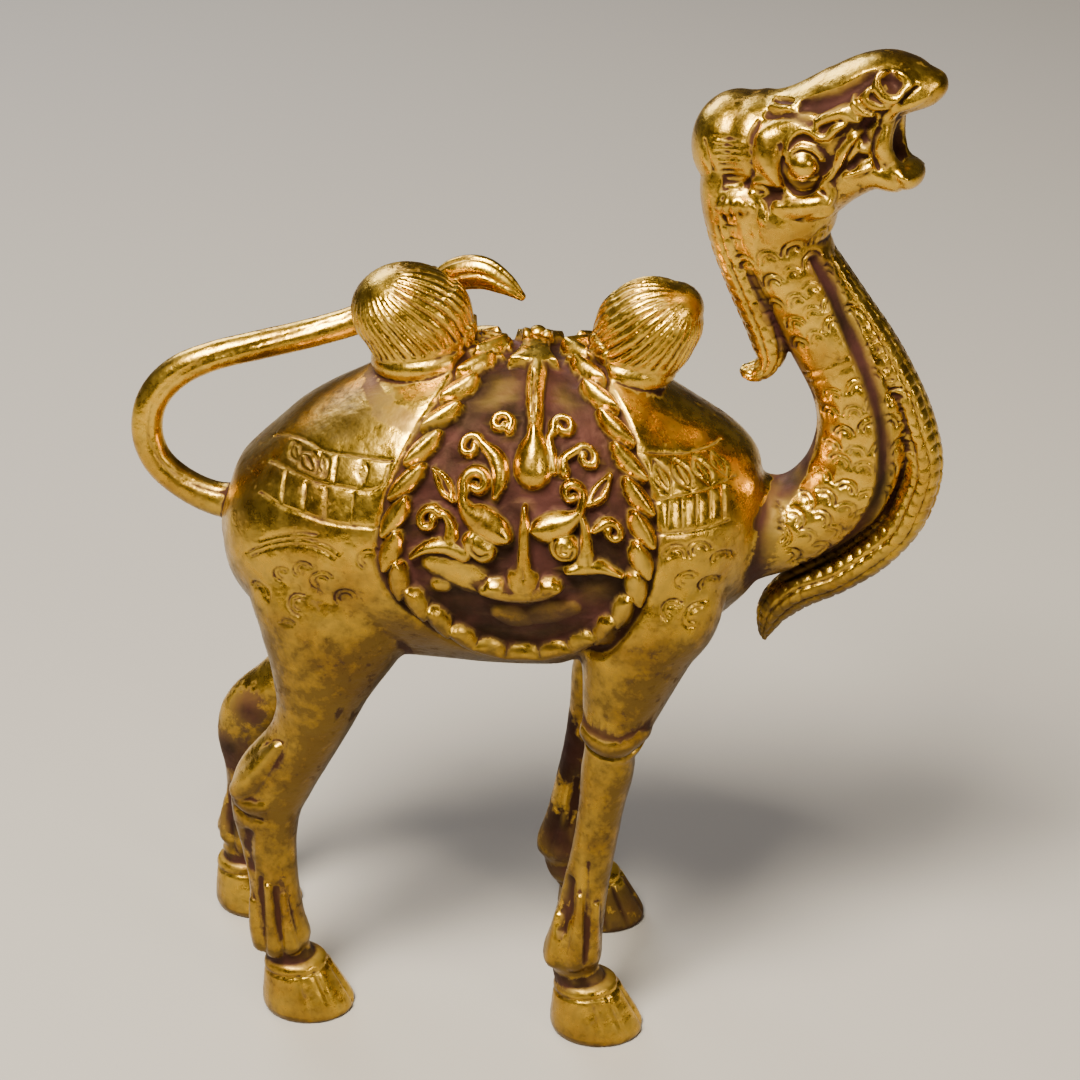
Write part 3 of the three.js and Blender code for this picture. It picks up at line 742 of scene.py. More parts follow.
# %% Raised strokes of the face
FACE_RAISED = [
    (0.55, [(31.4, 83.5, 0.24), (31.5, 84.4, 0.32), (31.9, 85.1, 0.36), (32.6, 85.5, 0.36), (33.3, 85.4, 0.34),
            (34.0, 85.1, 0.34), (34.6, 85.2, 0.36), (35.1, 85.8, 0.36), (35.8, 86.3, 0.26)]),
    (0.45, [(31.7, 82.9, 0.2), (31.9, 83.6, 0.25), (32.4, 84.1, 0.28), (33.1, 84.2, 0.28), (33.8, 83.9, 0.24),
            (34.2, 83.3, 0.16)]),
    (0.55, [(29.7, 84.5, 0.95), (30.5, 85.0, 1.03), (31.5, 85.7, 0.78), (32.6, 86.1, 0.60), (33.6, 85.7, 0.43)]),
    (0.50, [(29.9, 84.6, 1.03), (29.9, 83.1, 0.86), (30.3, 82.0, 0.78), (30.8, 81.1, 0.52)]),
    (0.35, [(28.8, 80.9, 0.26), (29.5, 81.1, 0.34), (30.2, 80.9, 0.34), (31.0, 80.8, 0.30)]),
    (0.60, [(34.2, 81.0, 0.28), (34.9, 82.0, 0.38), (35.4, 83.1, 0.38), (35.9, 84.2, 0.38), (36.5, 85.1, 0.34),
            (37.1, 85.6, 0.22)]),
    (0.40, [(34.6, 81.1, 0.43), (34.9, 80.4, 0.43), (34.8, 79.5, 0.34)]),
    (0.40, [(36.1, 81.9, 0.24), (37.0, 82.3, 0.28), (37.9, 82.8, 0.2)]),
    (0.30, [(37.3, 84.2, 0.34), (37.5, 84.2, 0.34)]),
    (0.40, [(30.9, 78.9, 0.52), (31.9, 78.8, 0.78), (33.0, 79.2, 0.78), (34.2, 79.7, 0.60)]),
    (0.60, [(33.7, 86.1, 0.34), (34.7, 86.8, 0.55), (35.7, 87.2, 0.7), (36.3, 86.9, 0.55), (36.8, 86.7, 0.28)]),
    (0.60, [(36.3, 88.5, 0.24), (36.6, 87.9, 0.42), (37.1, 87.4, 0.42), (37.8, 87.2, 0.28)]),
    (0.60, [(37.6, 89.1, 0.24), (37.3, 88.5, 0.42), (37.8, 88.0, 0.45), (38.4, 87.9, 0.36), (39.0, 88.0, 0.2)]),
    (0.60, [(38.7, 90.3, 0.24), (38.1, 90.0, 0.36), (38.2, 89.2, 0.45), (38.8, 88.6, 0.47), (39.5, 88.5, 0.4),
            (40.0, 88.8, 0.28)]),
    (0.30, [(38.7, 90.1, 0.22), (39.2, 90.3, 0.25), (39.9, 90.2, 0.25), (40.4, 89.8, 0.25)]),
    (0.35, [(40.6, 89.5, 0.2), (40.4, 89.3, 0.3), (40.1, 89.0, 0.33), (39.6, 88.1, 0.36)]),
    (0.25, [(39.7, 87.6, 0.36), (40.5, 87.9, 0.36), (41.3, 88.4, 0.34), (41.9, 88.8, 0.2)]),
    (0.40, [(39.6, 87.8, 0.43), (38.9, 86.7, 0.45), (38.7, 85.5, 0.45), (38.7, 84.3, 0.45), (39.1, 83.4, 0.45),
            (39.7, 82.5, 0.42), (40.3, 82.0, 0.32), (40.8, 81.8, 0.15)]),
    (0.35, [(28.7, 80.5, 0.18), (29.4, 80.5, 0.2), (29.9, 79.9, 0.2), (29.3, 79.5, 0.15)]),
    (0.35, [(28.6, 79.8, 0.18), (29.3, 79.2, 0.2), (29.9, 78.5, 0.2), (30.0, 77.5, 0.18)]),
    (0.25, [(29.1, 80.1, 0.60), (29.3, 79.0, 0.60), (29.5, 77.9, 0.43)]),
    (0.40, [(26.4, 78.4, 0.69), (27.5, 78.8, 0.78), (28.6, 78.7, 0.52)]),
    (0.30, [(29.5, 86.6, 0.31), (30.3, 86.5, 0.34), (31.1, 86.7, 0.26)]),
    (0.35, [(32.3, 86.5, 0.43), (33.0, 86.5, 0.43)]),
]
print("the face has", len(FACE_RAISED), "raised strokes")

# %% Sunk strokes of the face
FACE_SUNK = [
    (0.65, [(32.3, 87.0, 0.60), (33.9, 87.6, 0.78), (35.3, 88.2, 0.78), (36.5, 89.1, 0.69), (37.3, 89.8, 0.5),
            (37.8, 90.2, 0.25)]),
    (0.35, [(29.5, 87.0, 0.2), (31.1, 87.2, 0.2)]),
    (0.35, [(29.3, 86.1, 0.39), (30.6, 86.2, 0.39), (32.0, 86.2, 0.39), (33.3, 86.0, 0.34)]),
    (0.28, [(28.8, 85.6, 0.2), (28.7, 85.1, 0.32), (28.5, 84.5, 0.34), (28.5, 83.4, 0.34), (28.6, 82.2, 0.34),
            (28.7, 81.3, 0.28), (28.1, 80.4, 0.28)]),
    (0.55, [(39.0, 90.0, 0.52), (39.5, 89.5, 0.52)]),
    (0.35, [(41.1, 89.4, 0.2), (40.8, 89.2, 0.3), (40.4, 88.8, 0.34), (39.9, 88.3, 0.24)]),
    (0.40, [(38.3, 85.8, 0.2), (38.1, 84.8, 0.22), (38.1, 83.7, 0.22), (38.5, 82.6, 0.2)]),
    (0.55, [(37.7, 86.6, 0.52), (37.2, 85.6, 0.43), (37.6, 84.9, 0.34)]),
    (0.45, [(36.5, 82.8, 0.4), (37.0, 83.4, 0.45), (37.6, 83.5, 0.3)]),
    (0.45, [(26.8, 75.6, 0.22), (27.9, 75.5, 0.24), (29.2, 75.5, 0.26), (30.3, 75.1, 0.28), (31.2, 74.9, 0.28)]),
    (0.30, [(24.3, 83.6, 0.18), (25.0, 81.6, 0.22), (25.9, 80.0, 0.2)]),
    (0.40, [(31.3, 83.2, 0.22), (31.15, 82.0, 0.24), (31.5, 80.8, 0.28), (32.4, 80.3, 0.3), (33.5, 80.6, 0.28),
            (34.1, 81.4, 0.24)]),
]
CROWN_HAIR = [(0.18, [(25.0 + 0.3 * (84.2 - z), z, 0.14), (26.6, z + 0.12, 0.19), (27.9, z + 0.3, 0.1)])
              for z in np.arange(79.8, 84.3, 0.52)]
LOCKS = [(0.26, [(25.6 + 0.72 * i, 79.4 - 0.1 * i, 0.14), (25.7 + 0.72 * i, 77.6, 0.2), (26.1 + 0.7 * i, 75.7, 0.14)])
         for i in range(6)]
print("the face has", len(FACE_SUNK), "sunk strokes")

# %% Press the face and turn the head
places, facing = corners_of(finished_head)
heights = np.zeros(len(places))
for side in (NEAR, FAR):
    cheek = np.flatnonzero((side * places[:, 1] > 0) & (side * facing[:, 1] > 0.05))
    weight = smooth_step(0.05, 0.4, side * facing[cheek, 1])
    flat = places[cheek][:, [0, 2]]
    sunk = relief(flat, FACE_SUNK + (CROWN_HAIR + LOCKS if side == NEAR else CROWN_HAIR[::2]))
    heights[cheek] = weight * (relief(flat, FACE_RAISED) - sunk)
press(finished_head, heights)

HEAD_TURN = math.radians(-18)
HEAD_PIVOT = Vector((29.5, 0, 0))
turned = Matrix.Translation(HEAD_PIVOT) @ Matrix.Rotation(HEAD_TURN, 4, "Z") @ Matrix.Translation(-HEAD_PIVOT)
finished_head.transform(turned)
print("the head is turned by", round(math.degrees(HEAD_TURN)), "degrees")

# %% [markdown]
# ## One casting
# Body, ornament and head are fused once more, on a much finer grid, so that the finished piece is a single skin like
# the real casting. Only then are the reliefs pressed and the chaser's marks cut, because they are finer than the
# first grid could hold.

# %% Fuse everything on a fine grid
FINE_GRID = 0.135
casting = fuse([casting, finished_head] + ornament, FINE_GRID, 1)
places, facing = corners_of(casting)
heights = np.zeros(len(places))
print("the casting has", len(places), "corners")

# %% [markdown]
# ## The saddle cloth and its rope
# Inside the rope the cloth's ground lies lower than the skin, so that the mask on it stands in a shallow dish. The
# rope is a twist: each turn is a raised leaf that lies a little across the edge, over the one before.

# %% The cloth's edge on one side, as u and v
CLOTH_EDGE = [
    [6.3, -0.4],
    [4.5, 4.4],
    [3.1, 7.5],
    [1.7, 9.9],
    [0.5, 12.4],
    [-0.6, 14.7],
    [-1.2, 17.2],
    [-1.3, 19.8],
    [-0.2, 22.9],
    [1.8, 25.4],
    [3.7, 27.6],
    [5.9, 29.5],
    [8.3, 30.5],
    [10.9, 30.5],
    [13.3, 29.6],
    [15.7, 27.9],
    [17.6, 25.3],
    [19.0, 22.6],
    [19.5, 19.8],
    [19.6, 16.6],
    [19.1, 13.5],
    [18.1, 10.7],
    [16.7, 8.0],
    [15.2, 5.6],
    [14.2, 3.2],
    [12.8, -0.4],
]
edge_line = curve(CLOTH_EDGE, 6)
cloth_outline = np.vstack([edge_line, edge_line[0]])
steps = np.linalg.norm(np.diff(edge_line, axis=0), axis=1)
run = np.concatenate([[0], np.cumsum(steps)])
print("the rope on one side is", round(run[-1], 1), "mm long")

# %% The rope's strands
STRANDS = 27  # on each side, from spine to spine round the belly edge
STRAND_HALF_LENGTH = 1.5
STRAND_HEIGHT = 1.3
STRAND_LEAN = 0.62  # each strand's lower end lies further out than its upper end
rope = []
for i in range(STRANDS):
    share = (i + 0.5) / STRANDS
    at, ahead = (
        np.array([np.interp(run[-1] * share + step, run, edge_line[:, k]) for k in (0, 1)]) for step in (0, 0.4)
    )
    ahead = (ahead - at) / np.linalg.norm(ahead - at)
    outward = STRAND_LEAN * math.cos(math.pi * share)
    lean = ahead - outward * np.array([ahead[1], -ahead[0]])
    lean *= STRAND_HALF_LENGTH / np.linalg.norm(lean)
    rope.append((STRAND_HEIGHT, [
        (*(at - lean), 0.5), (*(at - lean * 0.5), 0.95), (*at, 1.05), (*(at + lean * 0.5), 0.95), (*(at + lean), 0.5),
    ]))
print("the rope has", 2 * STRANDS, "strands")

# %% Sink the ground and lay the rope
GROUND_DEPTH = 0.6
ROPE_BED = 0.45  # depth of the skin under the rope
ROPE_FOOT = 0.55  # depth from which the strands rise
CLOTH_REACH = 2.2  # a corner this near the trunk's surface can belong to the cloth


def near_cloth(stand_off, folded):
    """The corners on the trunk in and round the cloth, of both sides."""
    return np.flatnonzero(
        (np.abs(stand_off) < CLOTH_REACH) & (folded[:, 0] > -4) & (folded[:, 0] < 22.5) & (folded[:, 1] < 33.5)
    )


sheet, stand_off = sheet_of(places)
folded = np.column_stack([sheet[:, 0], np.abs(sheet[:, 1])])
on_cloth = near_cloth(stand_off, folded)
reach = distance_to(folded[on_cloth], edge_line)
level = np.where(
    inside(folded[on_cloth], cloth_outline),
    -ROPE_BED - (GROUND_DEPTH - ROPE_BED) * smooth_step(0.6, 1.2, reach),
    -ROPE_BED * (1 - smooth_step(1.1, 1.8, reach)),
)
strands = relief(folded[on_cloth], rope, per=2)
heights[on_cloth] = np.where(strands > 0.02, np.maximum(level, strands - ROPE_FOOT), level)
print("the ground lies", GROUND_DEPTH, "mm deep")

# %% [markdown]
# ## The beast mask on the cloth
# A mask of the old bronze kind. A bell with a long clapper hangs from the spine, then come the brows, each a scroll
# that swells into the eye, then leaf ears, nose, nostril bar and chin. All stands on the sunk ground. The hidden side
# is plainer: it has no cheeks and no chin.

# %% A scroll
CURL_STEPS = 10


def curl(high, u, v, radius, winding, start, half=0.46, turns=1.05, tail=()):
    """A scroll that winds in, after an optional tail. Winding is 1 or -1, and start is its angle in degrees."""
    line = list(tail)
    for i in range(CURL_STEPS):
        share = i / (CURL_STEPS - 1)
        angle = math.radians(start + winding * 360 * turns * share)
        reach = radius * (1 - 0.66 * share ** 0.9)
        line.append((u + reach * math.cos(angle), v + reach * math.sin(angle), half * (1.05 - 0.2 * share)))
    return high, line


# %% Pendant, scrolls and brows
PENDANT = [
    (1.0, [(10.1, 3.2, 1.0), (10.1, 6.3, 0.93), (10.3, 8.7, 0.83), (10.4, 10.5, 0.76)]),
    (1.45, [(10.3, 9.9, 0.6), (10.4, 10.9, 0.95), (10.4, 11.9, 1.5), (10.4, 12.8, 1.75), (10.4, 13.2, 1.7)]),
]
BELL = [(8.3, -1.5), (8.25, 0.2), (7.9, 1.8), (7.3, 3.0), (7.5, 3.7), (8.3, 3.5), (9.0, 3.9), (9.7, 3.6), (10.5, 3.9),
        (11.2, 3.5), (11.9, 3.6), (12.0, 3.0), (11.3, 1.8), (10.9, 0.2), (10.8, -1.5)]
SCROLLS = [
    curl(0.85, 7.5, 9.5, 0.98, -1, 40),
    curl(0.85, 12.75, 9.5, 1.0, 1, 150, tail=[(12.1, 13.2, 0.45), (11.9, 11.9, 0.5), (11.6, 10.6, 0.42)]),
    curl(0.9, 5.1, 11.4, 1.02, -1, -10, tail=[(7.4, 15.3, 0.45), (7.7, 13.9, 0.85), (7.3, 12.4, 0.85)]),
    curl(0.85, 14.8, 11.7, 0.98, 1, 200, tail=[(13.0, 13.2, 0.6), (12.9, 12.2, 0.5)]),
    curl(0.85, 1.8, 16.9, 1.05, -1, -20, tail=[(3.6, 18.9, 0.8), (3.7, 17.6, 0.62), (3.2, 16.6, 0.42)]),
    curl(0.85, 17.1, 17.1, 0.95, 1, 200, tail=[(15.6, 17.4, 0.3)]),
]
BROWS = [
    curl(1.15, 5.8, 14.3, 1.22, 1, 150, half=0.62, turns=0.95,
         tail=[(8.3, 18.5, 0.7), (7.6, 18.1, 1.2), (6.5, 17.4, 1.4), (5.3, 16.6, 0.95), (4.7, 15.6, 0.62)]),
    curl(1.1, 13.7, 14.8, 1.0, -1, 30, half=0.52, turns=0.95,
         tail=[(10.7, 17.9, 0.5), (11.5, 17.8, 1.15), (12.5, 17.5, 1.3), (13.6, 16.9, 0.85), (14.4, 16.0, 0.5)]),
]
print("the mask has", len(SCROLLS) + len(BROWS), "scrolls")

# %% Eyes, cheeks, nose, chin and ears
EYES = [
    (1.15, [(5.7, 19.0, 1.2), (6.5, 19.6, 1.2)]),
    (1.25, [(13.1, 19.1, 1.3), (13.3, 19.1, 1.3)]),
]
CHEEKS = [
    (0.95, [(0.4, 19.8, 0.34), (1.6, 19.2, 0.62), (3.3, 19.2, 0.85), (4.8, 19.9, 0.8)]),
    (0.5, [(2.0, 20.5, 0.9), (3.5, 21.0, 1.6), (5.2, 21.9, 1.6), (6.4, 22.6, 1.1)]),
    (0.95, [(14.5, 16.3, 0.34), (14.9, 17.5, 0.5), (15.0, 18.9, 0.72), (15.0, 20.1, 1.03)]),
    (1.0, [(13.5, 21.0, 0.41), (14.8, 20.6, 0.8), (16.3, 20.3, 0.74), (17.9, 20.7, 0.34)]),
    (0.5, [(2.6, 22.6, 0.8), (3.0, 22.7, 0.8)]),
]
NOSE = [
    (1.1, [(9.85, 16.1, 0.3), (9.85, 17.8, 0.5), (9.85, 19.6, 0.62), (9.85, 21.3, 1.0), (9.8, 22.6, 1.9)]),
    (1.15, [(6.5, 22.9, 0.7), (7.6, 23.1, 0.95), (9.0, 23.3, 0.95), (10.4, 23.2, 0.95), (11.6, 22.9, 0.95),
            (12.6, 22.5, 0.65)]),
    (1.25, [(7.1, 22.7, 0.85), (7.6, 22.8, 0.9)]),
    (1.2, [(11.7, 22.5, 0.8), (12.1, 22.4, 0.75)]),
]
CHIN = [
    (0.32, [(7.6, 25.6, 0.8), (8.8, 26.0, 1.3), (9.8, 26.1, 1.1)]),
    (0.28, [(10.6, 25.9, 1.1), (12.2, 25.4, 1.3), (13.8, 24.9, 0.9)]),
]
LEAF_EARS = [
    (0.9, [(3.9, 15.6, 0.3), (3.3, 14.7, 0.72), (2.7, 13.8, 0.62), (2.1, 12.9, 0.2)]),
    (0.9, [(15.1, 15.4, 0.3), (15.8, 14.5, 0.72), (16.3, 13.6, 0.62), (16.8, 12.4, 0.2)]),
]

# %% The saddle's top, and the lines cut into the mask
SADDLE_TOP = [
    (0.9, [(3.2, 1.9, 0.45), (4.6, 0.7, 0.7), (6.0, 0.3, 0.7), (7.2, 0.6, 0.45)]),
    (0.8, [(4.2, 3.8, 0.4), (5.4, 2.6, 0.6), (6.7, 2.2, 0.45)]),
    (0.9, [(12.2, 0.4, 0.4), (13.2, 0.6, 0.65), (14.6, 1.4, 0.65), (15.6, 2.6, 0.4)]),
    (0.8, [(12.6, 2.2, 0.4), (13.4, 3.0, 0.5), (13.9, 4.2, 0.3)]),
]
LEAF_VEINS = [
    (0.5, [(3.6, 15.1, 0.1), (3.2, 14.5, 0.32), (2.8, 13.8, 0.3), (2.4, 13.2, 0.1)]),
    (0.5, [(15.4, 14.9, 0.1), (15.8, 14.3, 0.32), (16.2, 13.6, 0.3), (16.6, 12.9, 0.1)]),
]
EYE_LINES = [
    (0.3, [(12.5, 18.4, 0.14), (12.3, 19.2, 0.18), (12.8, 19.9, 0.18), (13.6, 19.8, 0.18), (13.9, 19.2, 0.14)]),
    (0.3, [(13.0, 18.8, 0.12), (13.0, 19.3, 0.14), (13.4, 19.3, 0.12)]),
    (0.3, [(5.6, 18.6, 0.14), (5.5, 19.3, 0.18), (6.1, 19.9, 0.18), (6.9, 19.7, 0.14)]),
    (0.25, [(9.85, 17.4, 0.1), (9.85, 19.5, 0.14), (9.85, 21.6, 0.12)]),
    (0.3, [(9.9, 4.6, 0.12), (10.0, 6.8, 0.16), (10.2, 9.2, 0.12)]),
]
print("the mask has", len(LEAF_VEINS + EYE_LINES), "cut lines")

# %% Press the mask
for side in (NEAR, FAR):
    ours = on_cloth[side * sheet[on_cloth, 1] <= 0]
    flat = folded[ours]
    drawing = PENDANT + SCROLLS + BROWS + EYES + NOSE + LEAF_EARS + SADDLE_TOP
    if side == NEAR:
        drawing += CHEEKS + CHIN
    bell = np.array(BELL)
    edge = distance_to(flat, np.vstack([bell, bell[0]]))
    laid = np.maximum(relief(flat, drawing), 1.0 * smooth_step(0, 0.45, edge) * inside(flat, bell))
    laid -= relief(flat, LEAF_VEINS + (EYE_LINES if side == NEAR else []))
    raised = laid - GROUND_DEPTH > heights[ours]
    heights[ours[raised]] = laid[raised] - GROUND_DEPTH
print("mask and rope stand up to", round(float(heights.max()), 2), "mm over the skin")

# %% [markdown]
# ## The chaser's lines
# After casting, a chaser cuts lines into the metal with small punches. A cut is a groove of a given width and depth
# along a line. We give the lines on the trunk in the cloth's own coordinates, and those on the round limbs by how
# far along and how far round the limb they lie.

# %% How a line is cut
cuts = np.zeros(len(places))


def chase(where, points, line, width, depth):
    """Cuts one line into the corners listed in where; points are the same corners in the line's coordinates."""
    line = np.asarray(line, float)
    margin = 2.5 * width
    close = np.all((points > line.min(0) - margin) & (points < line.max(0) + margin), axis=1)
    groove = depth * np.exp(-(distance_to(points[close], line) / width) ** 2)
    chosen = where[close]
    cuts[chosen] = np.minimum(cuts[chosen], -groove)


# %% Coordinates on a round limb
def round_limb(stations, reach):
    """For the corners near a limb: which they are, how far along and round it, and their distance over its size."""
    row, way = readings(stations, 12)
    centre = row[:, :3]
    low, high = centre.min(0) - reach, centre.max(0) + reach
    near = np.flatnonzero(np.all((places > low) & (places < high), axis=1))
    point = places[near]
    nearest = np.zeros(len(near), int)
    best = np.full(len(near), np.inf)
    for i, at in enumerate(centre):
        away = np.sum((point - at) ** 2, axis=1)
        closer = away < best
        best[closer] = away[closer]
        nearest[closer] = i
    along = way[:, :3] / np.linalg.norm(way[:, :3], axis=1, keepdims=True)
    wide_axis = np.array([0, 1, 0]) - along * along[:, 1:2]
    wide_axis /= np.linalg.norm(wide_axis, axis=1, keepdims=True)
    out_axis = np.cross(along, wide_axis)
    offset = point - centre[nearest]
    x = np.sum(offset * wide_axis[nearest], axis=1) / row[nearest, 3]
    y = np.sum(offset * out_axis[nearest], axis=1) / row[nearest, 4]
    travelled = np.concatenate([[0], np.cumsum(np.linalg.norm(np.diff(centre, axis=0), axis=1))])
    run_along = travelled[nearest] + np.sum(offset * along[nearest], axis=1)
    return near, run_along, np.arctan2(y, x), np.hypot(x, y)


def skin_of(stations, reach, least, most, start=-100):
    """The corners on a limb's own skin, past a start: which they are, how far along and how far round it."""
    near, run_along, angle, size = round_limb(stations, reach)
    own = (size > least) & (size < most) & (run_along > start)
    return near[own], run_along[own], angle[own]


# %% [markdown]
# ## The harness engraved on the haunch and the shoulder
# Three straps run back and forward from the cloth. Petals are cut between the upper two and upright bars between
# the lower two, with curls of hair under them. The hidden side gets the straps and bars only.

# %% Straps and bars, as u and v
HAUNCH_STRAPS = [
    [(-12.8, 3.6), (-11.1, 5.3), (-9.1, 7.3), (-7.4, 9.0), (-4.4, 10.5), (-1.5, 11.6)],
    [(-12.8, 7.4), (-11.0, 9.3), (-8.2, 11.7), (-5.5, 12.9), (-3.3, 13.7), (-2.1, 13.3), (-1.7, 11.9)],
    [(-13.4, 11.2), (-11.4, 13.2), (-8.8, 14.7), (-6.5, 15.9), (-4.7, 16.4), (-2.6, 16.9)],
]
SHOULDER_STRAPS = [
    [(19.5, 9.5), (21.3, 8.7), (22.6, 8.0), (23.7, 7.0), (24.9, 5.5), (25.6, 3.9)],
    [(20.5, 13.6), (22.1, 12.8), (23.3, 12.2), (24.7, 11.2), (26.0, 9.9), (27.0, 8.6)],
    [(20.6, 16.6), (22.6, 16.2), (24.0, 15.9), (25.2, 15.4), (26.6, 14.6)],
]
BARS = [
    [(-7.1, 12.6), (-7.1, 15.4)], [(-4.7, 13.5), (-4.8, 16.3)], [(-3.9, 12.0), (-4.1, 13.4)],
    [(-9.0, 11.5), (-9.1, 14.4)], [(-11.0, 9.6), (-11.2, 13.0)], [(-6.4, 9.9), (-6.5, 12.5)],
    [(21.7, 13.3), (21.7, 16.2)], [(22.7, 12.8), (22.9, 16.1)], [(23.9, 12.2), (24.0, 15.8)],
    [(25.0, 11.3), (25.1, 15.4)], [(26.0, 10.4), (26.2, 14.8)],
]

# %% Petals, curls of hair and the haunch's arcs
PETALS = [  # u, v, half-length, half-width, turn in degrees
    (-9.0, 9.4, 1.7, 0.7, 60), (-10.4, 7.7, 1.3, 0.5, 75), (-7.6, 10.2, 1.3, 0.45, 75), (-4.0, 11.8, 1.0, 0.4, 80),
    (21.0, 11.2, 1.5, 0.75, 60), (22.6, 10.4, 1.6, 0.8, 60), (24.2, 9.3, 1.6, 0.75, 60), (25.6, 7.8, 1.4, 0.6, 60),
]
HAIR_CURLS = [  # u, v, radius, start angle
    (-11.1, 21.2, 0.9, 100), (-9.2, 20.4, 0.9, 130), (-7.5, 21.7, 1.1, 120), (-13.3, 24.2, 0.9, 180),
    (-9.6, 24.2, 1.0, 90), (-5.5, 23.6, 1.0, 140), (-12.1, 29.0, 1.0, 150), (-7.9, 28.4, 1.0, 120),
    (-3.4, 19.5, 0.9, 120), (-10.6, 26.6, 0.8, 100), (22.4, 18.6, 1.1, 160), (24.3, 18.1, 1.0, 140),
    (26.2, 19.4, 0.9, 160), (23.4, 21.5, 1.0, 120), (25.2, 22.6, 0.9, 150), (24.2, 25.4, 1.1, 100),
    (22.2, 24.4, 0.9, 120),
]
HAUNCH_ARCS = [(-10.0, 22.6, 5.6, 215, 318), (-10.0, 22.6, 5.0, 215, 318), (-10.0, 22.6, 6.2, 240, 290)]

# %% Engrave the trunk
ENGRAVED = 0.16  # half-width of a cut, in millimetres; the real cuts are a little finer than the mesh can hold
STRAP_DEPTH = 0.17
BAR_DEPTH = 0.14
PETAL_DEPTH = 0.14
CURL_DEPTH = 0.17
ARC_DEPTH = 0.15
for side in (NEAR, FAR):
    trunk_skin = np.flatnonzero((np.abs(stand_off) < 1.6) & (side * sheet[:, 1] < 0) & (np.abs(sheet[:, 0] - 6) < 22))
    flat = sheet[trunk_skin] * (1, -side)
    for strap in HAUNCH_STRAPS + SHOULDER_STRAPS:
        chase(trunk_skin, flat, curve(strap), ENGRAVED, STRAP_DEPTH)
    for bar in BARS:
        chase(trunk_skin, flat, bar, ENGRAVED, BAR_DEPTH)
    if side == FAR:
        continue
    for u, v, long, wide, turn in PETALS:
        c, s = math.cos(math.radians(turn)), math.sin(math.radians(turn))
        for bow in (-wide, wide, 0):
            tips = [(-long, 0), (0, bow), (long, 0)] if bow else [(-long * 0.5, 0), (0, 0), (long * 0.6, 0)]
            petal = curve([(u + a * c - b * s, v + a * s + b * c) for a, b in tips])
            chase(trunk_skin, flat, petal, ENGRAVED, PETAL_DEPTH)
    for u, v, radius, start in HAIR_CURLS:
        for inner in (1, 0.55):
            chase(trunk_skin, flat, arc(u, v, radius * inner, start, start + 210), ENGRAVED, CURL_DEPTH)
    for u, v, radius, start, end in HAUNCH_ARCS:
        chase(trunk_skin, flat, arc(u, v, radius, start, end), ENGRAVED, ARC_DEPTH)
print("the trunk's straps, petals and curls are cut")

# %% [markdown]
# ## Scales on the neck, strands on the mane
# The neck carries rows of scale-shaped locks, each an arc with a smaller one inside it on the near side, broken by a
# plain ring. A smooth groove parts the neck from the mane. Mane and nape lock have long strands with short notches.

# %% Engrave the neck
SCALE_PITCH = 2.3
RING_AT = 29.2  # how far up the neck its plain ring is
RING_WIDTH = 0.9
hand = np.random.default_rng(7)  # no two scales are cut quite alike
near, run_along, angle = skin_of(NECK, 7, 0.8, 1.25)
for side in (NEAR, FAR):
    beside = np.arctan2(np.sin(angle), side * np.cos(angle)) * 4.4
    facing_us = np.flatnonzero(np.abs(beside) < 5.4)
    flat = np.column_stack([run_along, beside])[facing_us]
    where = near[facing_us]
    for low, depth in ((RING_AT, 0.15), (RING_AT - RING_WIDTH, 0.1)):
        chase(where, flat, [(low, -5), (low + 0.5, 0), (low, 5)], ENGRAVED, depth)
    for row in range(5, 22):
        middle = row * SCALE_PITCH * 0.82
        if abs(middle - RING_AT) < 1.4 or middle > 46:
            continue
        for column in range(-2, 3):
            across = (column + 0.5 * (row % 2)) * SCALE_PITCH - 0.3
            slip_along, slip_across, depth = hand.uniform((-0.25, -0.3, 0.1), (0.25, 0.3, 0.2))
            if abs(across) > 4.2:
                continue
            radii, deeper = ((1.15, 0.62), 1.4) if side == NEAR else ((1.15,), 1.0)
            for radius in radii:
                scale_arc = arc(middle + slip_along, across + slip_across, radius, -75, 75)
                chase(where, flat, scale_arc, ENGRAVED, depth * deeper)
print("the neck's scales are cut")


# %% Cut the strands of the mane
def furrow(wave, width, depth):
    """The depth of a row of soft grooves, which lie where a wave passes 0."""
    return depth * np.exp(-(wave / width) ** 2)


near, run_along, angle = skin_of(MANE, 4, 0.75, 1.3, start=2)
strand = np.abs(np.sin(angle * 4.5 + 0.25 * np.sin(run_along * 0.9)))
notch = np.abs(np.sin(run_along * 2.9 + 2.2 * np.abs(np.sin(angle * 2.0))))
cuts[near] -= furrow(strand, 0.3, 0.22) + furrow(notch, 0.35, 0.1)
print("the mane's strands lie on", len(near), "corners")

# %% Part the mane from the neck
MANE_GROOVE = [  # seen from the side: x, z, half-width
    (0.45, [(32.7, 74.2, 0.4), (34.1, 71.8, 0.55), (35.6, 68.6, 0.65), (37.2, 65.2, 0.7), (38.6, 61.4, 0.7),
            (39.4, 57.4, 0.7), (39.3, 53.2, 0.7), (37.7, 49.4, 0.75), (34.8, 46.4, 0.8), (31.4, 44.2, 0.8)]),
]
near = np.flatnonzero((places[:, 0] > 30) & (places[:, 2] > 42) & (places[:, 2] < 75.5) & (np.abs(places[:, 1]) > 1))
trench = relief(places[near][:, [0, 2]], MANE_GROOVE)
heights[near] -= trench * smooth_step(0.1, 0.5, np.abs(facing[near, 1]))
cuts[near] *= 1 - np.clip(trench / 0.25, 0, 1)  # no scale or strand runs through the groove
print("the mane's groove is", round(float(trench.max()), 2), "mm deep")

# %% Cut the strands of the nape lock and the tail
near, run_along, angle = skin_of(NAPE, 4, 0.75, 1.35, start=6)
strand = np.abs(np.sin(angle * 3.5 + 0.5))
notch = np.abs(np.sin(run_along * 2.6 + angle))
cuts[near] -= furrow(strand, 0.28, 0.24) + furrow(notch, 0.3, 0.1)

